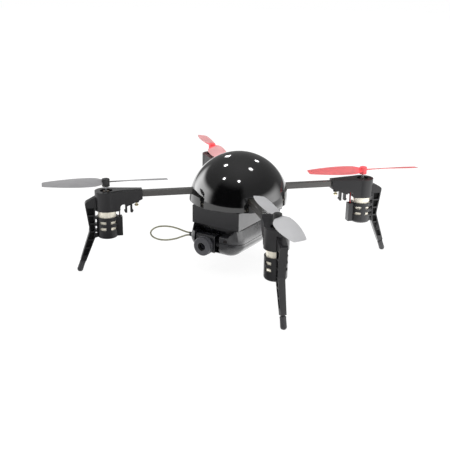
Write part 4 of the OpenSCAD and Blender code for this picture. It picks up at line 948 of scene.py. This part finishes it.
def makeCan(armName, bearing, shape):
    wide, ease, low, high = take(shape, "radius", "ease", "low", "high")
    inner, hole, lip, face = take(shape, "inner", "hole", "lipEase", "face")
    groove, half, floor = take(shape, "groove", "grooveHalf", "grooveFloor")
    waist, ceiling = wide - shape["grooveDeep"], high - shape["roof"]
    profile = [(hole, ceiling), (inner, ceiling), (inner, low)] + arc(wide - lip, low + lip, lip, -90, 0, 3)
    profile += [(wide, groove - half), (waist, groove - floor)]
    profile += [(waist, groove + floor), (wide, groove + half)]
    profile += arc(wide - ease, high - ease, ease, 0, 90)
    profile += [(face, high), (face - shape["faceEdge"], high), (hole, high), (hole, ceiling)]
    build = bmesh.new()
    toCan = atMotor(bearing).inverted()
    # painted shade: the can's top face inside the mount's lip takes a near-black steel, where the opening
    # above the can lies in shadow
    for side in lathe(build, profile, atMotor(bearing), 96):
        centre = toCan @ side.calc_center_median() / mm
        side.material_index = int(centre.z > high - shape["faceEdge"] / 2 and centre.xy.length < face)
    bmesh.ops.remove_doubles(build, verts=build.verts, dist=easing["merge"] * mm)
    looks = (finishes["lacqueredNickelCan"], finishes["blackOxideSteel"])
    settle(newPiece(camelName("motor_can_" + armName), build, *looks), "motor_steel", "motor_can_" + armName)


def makeBoot(armName, bearing, shape):
    node = "foot_boot_" + armName
    wide, tall, ease, pin = take(shape, "radius", "length", "ease", "pin")
    collar, bottom = tall + shape["collar"], tall - shape["pinDepth"]
    bandLow, bandHigh = shape["band"]
    profile = arc(0, 0, wide, -90, 0, 12)
    profile[0] = (0, -wide)
    profile += [(wide - shape["bandStep"], tall - bandLow), (wide, tall - bandHigh)]
    profile += arc(wide - ease, tall - ease, ease, 0, 80, 4)
    profile += [(shape["neck"], tall + shape["lip"]), (shape["neck"], collar)]
    profile += [(pin, collar), (pin, bottom), (0, bottom)]
    legOut, legHigh = shape["legTop"]
    splay = math.atan((shape["out"] - legOut) / (legHigh - shape["centre"]))
    stand = atMotor(bearing) @ moved(shape["out"], 0, shape["centre"]) @ Matrix.Rotation(-splay, 4, "Y")
    build = bmesh.new()
    lathe(build, profile, stand, 48)
    for vert in build.verts:
        vert.co.z = max(vert.co.z, 0)
    settle(newPiece(camelName(node), build, finishes["bootRubber"], smooth=50), "boot_rubber", node)


for armName, bearing, way in arms:
    makeCan(armName, bearing, canShape)
    makeBoot(armName, bearing, bootShape)
print("cans and boots made")


# screws: pan head with a cross recess, repeated where the solids have them

screwShape = {
    "headHeight": 0.8, "headRound": 0.6, "headEdge": 0.1, "shank": 0.5, "point": 0.4, "pointShare": 0.5,
    "crossLong": 1.24, "crossWide": 0.26, "crossDeep": 0.5,  # shares of the head's radius and height
    "bossSeat": (49.2, 0, 31.4),  # along the arm, across it and up, under a motor mount
}
bossSeats = [turned(bearing, "Z") @ Vector(screwShape["bossSeat"]) for armName, bearing, way in arms]
screwRows = [  # piece, node, finish, slot, head radius, shank length, whether it faces down, seats
    ("armScrews", "arm_screws", "yellowZinc", "yellow_zinc", 1.0, 4.35, True, bossSeats),
    ("frameScrews", "frame_screws", "turnedSteel", "steel", 1.1, 4.5, False,
     [(10.2, 0, 41.0), (-10.2, 0, 41.0), (0, 10.2, 41.0), (0, -10.2, 41.0)]),
    ("frameScrewsDeck", "frame_screws", "turnedSteel", "steel", 1.1, 2.4, False,
     [(x, y, 32.6) for x in (-9, 9) for y in (-16, 16)]),
    ("cameraScrews", "camera_screws", "turnedSteel", "steel", 1.1, 8.4, True,
     [(x, y, cameraShape["headSeat"]) for x, y in cameraShape["posts"]]),
]


def makeScrew(head, length, shape):
    tall, shank, edge = take(shape, "headHeight", "shank", "headEdge")
    dome = tall * shape["headRound"]
    profile = [(0, -length), (shank * shape["pointShare"], -length), (shank, shape["point"] - length)]
    profile += [(shank, 0), (head - edge, 0), (head, edge)]
    profile += arc(head - dome, tall - dome, dome, 0, 80, 5) + [(0, tall)]
    build = bmesh.new()
    lathe(build, profile, Matrix.Identity(4), 32)
    screw = newPiece("screwPattern", build)
    cross = bmesh.new()
    size = Vector((head * shape["crossLong"], head * shape["crossWide"], 2 * tall * shape["crossDeep"])) * mm
    for turn in (0, 90):
        place = turned(turn, "Z") @ moved(0, 0, tall) @ Matrix.Diagonal(size).to_4x4()
        bmesh.ops.create_cube(cross, size=1, matrix=place)
    carve(screw, cross, "DIFFERENCE")
    return screw


for seed, (name, node, finish, slot, head, length, down, seats) in enumerate(screwRows):
    screw = makeScrew(head, length, screwShape)
    row = repeatPiece(name, screw, seats, finish, math.pi if down else 0.0, math.pi, seed)
    settle(row, slot, node)
print("screws made")


# lens, button and lamp

lensShape = {
    "x": -4.6, "y": -22.4, "z": 13.5, "radius": 4.55, "length": 3.0, "mouth": 2.0, "mouthEase": 0.2,
    "edge": 0.1, "collar": 0.35, "collarEase": 0.15, "collarLine": 0.02, "groove": (0.42, 0.5, 0.56),
    "grooveDeep": 0.35, "rimEase": 0.4, "rimLine": 0.05, "baffle": 0.45,
    "glass": 1.3, "glassGap": 0.03, "glassDrop": 0.7, "seatDrop": 0.65, "seatStep": (0.02, 0.05),
}
buttonShape = {"x": -17.587, "radius": 1.7, "flange": 0.8, "low": 30.4, "deckTop": 32.6, "high": 33.4,
               "ease": 0.3, "dish": (0.15, 0.1, 0.7), "gap": 0.05, "edge": 0.1}
lampShape = {"x": 17.587, "radius": 1.5, "flange": 0.7, "deckLow": 31.4, "deckTop": 32.6, "edge": 0.1}


def makeLens(shape):
    wide, long, glass, mouth = take(shape, "radius", "length", "glass", "mouth")
    edge, bead, rim, soft = take(shape, "edge", "collarEase", "rimEase", "mouthEase")
    place = moved(shape["x"], shape["y"], shape["z"]) @ turned(90, "X")
    collar = shape["collar"]
    start, end, back = shape["groove"]
    waist, seat, middle = wide - shape["grooveDeep"], long - shape["seatDrop"], long / 2
    slip, step = shape["seatStep"]
    profile = [(0, 0), (wide - edge, 0), (wide, edge), (wide, long * (collar - shape["collarLine"]))]
    profile += arc(wide - bead, long * collar, bead, 0, 80, 4)
    profile += [(waist, long * start), (waist, long * end), (wide - edge, long * back)]
    profile += [(wide - edge, long - rim - shape["rimLine"])]
    profile += arc(wide - edge - rim, long - rim, rim, 0, 90)
    profile += [(mouth + soft + shape["rimLine"], long)]
    profile += arc(mouth + shape["rimLine"], long - soft, soft, 90, 180, 4)
    profile += [(glass + slip, seat + step), (glass, seat), (glass, middle), (0, middle)]
    build = bmesh.new()
    lathe(build, profile, place, 80)
    for face in build.faces:
        spot = place.inverted() @ face.calc_center_median() / mm
        face.material_index = int(spot.xy.length < mouth and spot.z > long * shape["baffle"])
    barrel = newPiece("lensBarrel", build, finishes["lensRingPaint"], finishes["baffleBlackPaint"])
    settle(barrel, "lens_grey", "lens_barrel")
    bulge, crown, rimRadius = 2 * glass, long - shape["glassDrop"], glass - shape["glassGap"]
    lens = [(0, middle), (rimRadius, middle)]
    lens += arc(0, crown - bulge, bulge, math.degrees(math.acos(rimRadius / bulge)), 90, 10)
    lens[-1] = (0, crown)
    build = bmesh.new()
    lathe(build, lens, place, 48)
    settle(newPiece("lensGlass", build, finishes["coatedLensGlass"]), "lens_glass", "lens_glass")


def makeButton(shape):
    wide, ease, low, high, edge = take(shape, "radius", "ease", "low", "high", "edge")
    flange, seat = wide + shape["flange"], shape["deckTop"] + shape["gap"]
    middle, rim, rimIn = shape["dish"]
    profile = [(0, low + middle), (wide - rimIn, low + rim)] + arc(wide - ease, low + ease, ease, -90, 0, 5)
    profile += [(wide, seat), (flange - edge, seat), (flange, seat + edge), (flange, high - edge)]
    profile += [(flange - edge, high), (0, high)]
    build = bmesh.new()
    lathe(build, profile, moved(shape["x"], 0, 0), 48)
    settle(newPiece("powerButton", build, finishes["buttonRedAbs"]), "button_red", "power_button")


def makeLamp(shape):
    wide, low, seat, edge = take(shape, "radius", "deckLow", "deckTop", "edge")
    flange, top = wide + shape["flange"], seat + shape["flange"]
    profile = arc(0, low, wide, -90, 0, 12)
    profile[0] = (0, low - wide)
    profile += [(wide, seat), (flange, seat), (flange, top - edge), (flange - edge, top), (0, top)]
    build = bmesh.new()
    lathe(build, profile, moved(shape["x"], 0, 0), 48)
    settle(newPiece("statusLamp", build, finishes["clearLampResin"]), "clear_lamp", "status_lamp")


makeLens(lensShape)
makeButton(buttonShape)
makeLamp(lampShape)
print("lens, button and lamp made")


# small parts on the flight board, and ribs on the battery cap's grip

boardParts = {
    "top": 41.0, "chipHalf": 3.5, "legs": 8, "legPitch": 0.8, "leg": (0.6, 0.32, 0.16), "legOut": 0.8,
    "body": (1.0, 0.6, 0.42), "end": 0.24, "endStep": 0.04, "row": 5.7, "seats": (-2.4, -0.8, 0.8, 2.4),
}
gripRibs = {"count": 7, "pitch": 1.6, "size": (0.55, 2.6, 0.3), "y": 23.2, "z": 28.3}


# a pattern of blocks repeated on its seats, which rides with the node that it sits on
def repeatBlocks(name, blocks, seats, finish, node):
    build = bmesh.new()
    for xs, ys, high in blocks:
        addBlock(build, xs, ys, (-sunk, high))
    row = repeatPiece(name, newPiece("blockPattern", build), seats, finish)
    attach(row, nodeBody[node])


def evenRow(count, pitch):
    return [(i - (count - 1) / 2) * pitch for i in range(count)]


def makeBoardParts(shape):
    long, wide = shape["leg"][0] / 2, shape["leg"][1] / 2
    legs = evenRow(shape["legs"], shape["legPitch"])
    edge, row, top = shape["chipHalf"] + long * shape["legOut"], shape["row"], shape["top"]
    sides = {"chipLegsAcross": (long, wide, [(side * edge, leg, top) for side in (-1, 1) for leg in legs]),
             "chipLegsAlong": (wide, long, [(leg, side * edge, top) for side in (-1, 1) for leg in legs])}
    for name, (x, y, seats) in sides.items():
        block = ((-x, x), (-y, y), shape["leg"][2])
        repeatBlocks(name, [block], seats, "tinSolder", "flight_board")
    half, deep, high = shape["body"][0] / 2, shape["body"][1] / 2, shape["body"][2]
    seats = [(side * row, y, top) for side in (-1, 1) for y in shape["seats"]]
    seats += [(x, side * row, top) for side in (-1, 1) for x in shape["seats"]]
    inner, across = half - shape["end"], (-deep, deep)
    body = ((-inner, inner), across, high - shape["endStep"])
    repeatBlocks("resistorBodies", [body], seats, "chipEpoxy", "flight_board")
    ends = [((-half, -inner), across, high), ((inner, half), across, high)]
    repeatBlocks("resistorEnds", ends, seats, "tinSolder", "flight_board")


def makeGripRibs(shape):
    wide, long, high = shape["size"]
    rib = ((-wide / 2, wide / 2), (-long / 2, long / 2), high)
    seats = [(x, shape["y"], shape["z"]) for x in evenRow(shape["count"], shape["pitch"])]
    repeatBlocks("gripRibs", [rib], seats, "cameraBlackAbs", "battery_cap")


makeBoardParts(boardParts)
makeGripRibs(gripRibs)
print("small parts made")


# floor, light tent and lamps

stageLight = {  # metres, and degrees from the front towards the left of the object
    "floorSize": 2.5, "paper": "#e6e6e6", "paperSeen": "#757575", "paperGlow": 0.87, "worldLevel": 0.3,
    "tentRadius": 2.5, "tentLow": 0.2, "tentHigh": 0.43, "tentCurve": 5.0,
    "fill": 0.55,  # what the tent adds to matt surfaces
    "gapShare": 0.97,  # how much of the tent's light is missing in the gap
    # patches of light: full and none tell how far from their bearing, fades run from none to full along
    # the height in degrees on the tent, and along the distance from the middle on the floor
    "gap": {"bearing": 4, "full": 28, "none": 46, "fades": [(61.642, 36.87)]},
    "panels": [{"bearing": -76, "full": 14, "none": 44, "fades": [(29, 18)], "level": 3.2},
               {"bearing": 94, "full": 16, "none": 60, "fades": [(25, 11)], "level": 2.6}],
    # the cards lie on the floor, and only reflections show them
    "cards": {"darkCard": {"bearing": -4, "full": 26, "none": 54, "fades": [(0.03, 0.06), (0.125, 0.095)],
                           "height": 0.0004, "level": 0.2},
              "paleCard": {"bearing": 140, "full": 36, "none": 68, "fades": [(0.025, 0.05), (0.26, 0.12)],
                           "height": 0.0002, "level": 2.5}},
    "lampPower": 0.9, "lampAim": (0, 0, 0.04),
    "lamps": [((-0.72, 0.72, 0.69), 0.11), ((-0.59, 0.12, 1.09), 0.13), ((-0.04, 0.91, 0.83), 0.1),
              ((0.27, 0.34, 1.17), 0.16), ((-0.37, -0.58, 1.04), 0.11), ((0.30, -0.53, 1.09), 0.11)],
}
white = hexColour("#ffffff")


def startStage(name):
    finish = bpy.data.materials.new(name)
    finish.use_nodes = True
    finish.node_tree.nodes.clear()
    return finish, finish.node_tree


# the share of rays for which the background is plain white
def seenRays(tree):
    path = addNode(tree, "ShaderNodeLightPath").outputs
    first = addNode(tree, "ShaderNodeMath", {
        0: path["Is Camera Ray"], 1: path["Is Glossy Ray"]}, operation="MAXIMUM")
    both = addNode(tree, "ShaderNodeMath", {
        0: first.outputs[0], 1: path["Is Transmission Ray"]}, operation="MAXIMUM")
    return both.outputs[0]


def makeFloor(light):
    build = bmesh.new()
    bmesh.ops.create_circle(build, cap_ends=True, segments=96, radius=light["floorSize"])
    paper, tree = startStage("whiteSeamlessPaper")
    lit = addNode(tree, "ShaderNodeBsdfDiffuse", {"Color": hexColour(light["paper"])})
    pale = addNode(tree, "ShaderNodeBsdfDiffuse", {"Color": hexColour(light["paperSeen"])})
    glow = addNode(tree, "ShaderNodeEmission", {"Color": white, "Strength": light["paperGlow"]})
    seen = addNode(tree, "ShaderNodeAddShader", {0: pale.outputs[0], 1: glow.outputs[0]})
    both = addNode(tree, "ShaderNodeMixShader", {0: seenRays(tree), 1: lit.outputs[0], 2: seen.outputs[0]})
    addNode(tree, "ShaderNodeOutputMaterial", {"Surface": both.outputs[0]})
    newPiece("paperFloor", build, paper)


# how much of a patch of light there is at a place: near its bearing, and within its fades along a measure
def patchShare(tree, place, patch, measure, fades):
    bearing = math.radians(patch["bearing"])
    flat = addNode(tree, "ShaderNodeVectorMath", {0: place, 1: (1, 1, 0)}, operation="MULTIPLY")
    way = addNode(tree, "ShaderNodeVectorMath", {0: flat.outputs[0]}, operation="NORMALIZE")
    ahead = addNode(tree, "ShaderNodeVectorMath", {
        0: way.outputs[0], 1: (math.sin(bearing), -math.cos(bearing), 0)}, operation="DOT_PRODUCT")
    none, full = (math.cos(math.radians(patch[key])) for key in ("none", "full"))
    share = 1.0
    for value, start, end in [(ahead.outputs["Value"], none, full)] + [(measure, *fade) for fade in fades]:
        fade = addNode(tree, "ShaderNodeMapRange", {
            "Value": value, "From Min": start, "From Max": end}, interpolation_type="SMOOTHSTEP")
        share = addNode(tree, "ShaderNodeMath", {
            0: share, 1: fade.outputs["Result"]}, operation="MULTIPLY").outputs[0]
    return share


def makeCard(name, card):
    build = bmesh.new()
    bmesh.ops.create_circle(build, cap_ends=True, segments=64, radius=max(card["fades"][-1]),
                            matrix=Matrix.Translation((0, 0, card["height"])))
    sheet, tree = startStage(name)
    sheet.cycles.emission_sampling = "NONE"
    place = addNode(tree, "ShaderNodeTexCoord").outputs["Object"]
    away = addNode(tree, "ShaderNodeVectorMath", {0: place}, operation="LENGTH").outputs["Value"]
    share = patchShare(tree, place, card, away, card["fades"])
    glow = addNode(tree, "ShaderNodeEmission", {"Color": white, "Strength": card["level"]})
    clear = addNode(tree, "ShaderNodeBsdfTransparent")
    both = addNode(tree, "ShaderNodeMixShader", {0: share, 1: clear.outputs[0], 2: glow.outputs[0]})
    addNode(tree, "ShaderNodeOutputMaterial", {"Surface": both.outputs[0]})
    piece = newPiece(name, build, sheet)
    piece.visible_camera = piece.visible_diffuse = False
    piece.visible_transmission = piece.visible_shadow = False


def makeTent(light):
    build = bmesh.new()
    bmesh.ops.create_uvsphere(build, u_segments=64, v_segments=32, radius=light["tentRadius"])
    below = [vert for vert in build.verts if vert.co.z < -mm]
    bmesh.ops.delete(build, geom=below, context="VERTS")
    cloth, tree = startStage("softTentCloth")
    cloth.cycles.emission_sampling = "NONE"
    place = addNode(tree, "ShaderNodeTexCoord").outputs["Object"]
    height = addNode(tree, "ShaderNodeSeparateXYZ", {0: place}).outputs["Z"]
    sine = addNode(tree, "ShaderNodeMath", {
        0: height, 1: light["tentRadius"]}, operation="DIVIDE").outputs[0]
    steep = addNode(tree, "ShaderNodeMath", {0: sine, 1: light["tentCurve"]}, operation="POWER")
    rise = addNode(tree, "ShaderNodeMapRange", {
        "Value": steep.outputs[0], "To Min": light["tentLow"], "To Max": light["tentHigh"]})
    shares = []
    for patch in [light["gap"]] + light["panels"]:
        fades = [[math.sin(math.radians(angle)) for angle in fade] for fade in patch["fades"]]
        shares.append(patchShare(tree, place, patch, sine, fades))
    kept = addNode(tree, "ShaderNodeMath", {
        0: shares[0], 1: -light["gapShare"], 2: 1.0}, operation="MULTIPLY_ADD")
    level = addNode(tree, "ShaderNodeMath", {
        0: rise.outputs["Result"], 1: kept.outputs[0]}, operation="MULTIPLY")
    matt = addNode(tree, "ShaderNodeLightPath").outputs["Is Diffuse Ray"]
    added = list(zip(shares[1:], [panel["level"] for panel in light["panels"]])) + [(matt, light["fill"])]
    for share, strength in added:
        level = addNode(tree, "ShaderNodeMath", {
            0: share, 1: strength, 2: level.outputs[0]}, operation="MULTIPLY_ADD")
    glow = addNode(tree, "ShaderNodeEmission", {"Color": white, "Strength": level.outputs[0]})
    addNode(tree, "ShaderNodeOutputMaterial", {"Surface": glow.outputs[0]})
    tent = newPiece("lightTent", build, cloth)
    tent.visible_camera = tent.visible_transmission = tent.visible_shadow = False


def makeWorld(light):
    world = bpy.data.worlds.new("whiteStudio")
    scene.world = world
    world.use_nodes = True
    tree = world.node_tree
    tree.nodes.clear()
    level = addNode(tree, "ShaderNodeMapRange", {
        "Value": seenRays(tree), "To Min": light["worldLevel"], "To Max": 1.0})
    sky = addNode(tree, "ShaderNodeBackground", {"Color": white, "Strength": level.outputs["Result"]})
    addNode(tree, "ShaderNodeOutputWorld", {"Surface": sky.outputs[0]})


def makeLamps(light):
    for i, (spot, size) in enumerate(light["lamps"]):
        name = "softLamp%d" % i
        data = bpy.data.lights.new(name, "AREA")
        data.shape, data.size, data.energy = "DISK", size, light["lampPower"]
        lamp = bpy.data.objects.new(name, data)
        lamp.location = spot
        lamp.rotation_euler = (Vector(spot) - Vector(light["lampAim"])).to_track_quat("Z", "Y").to_euler()
        lamp.visible_camera = False
        scene.collection.objects.link(lamp)


makeFloor(stageLight)
for name, card in stageLight["cards"].items():
    makeCard(name, card)
makeTent(stageLight)
makeWorld(stageLight)
makeLamps(stageLight)
print("stage lit")
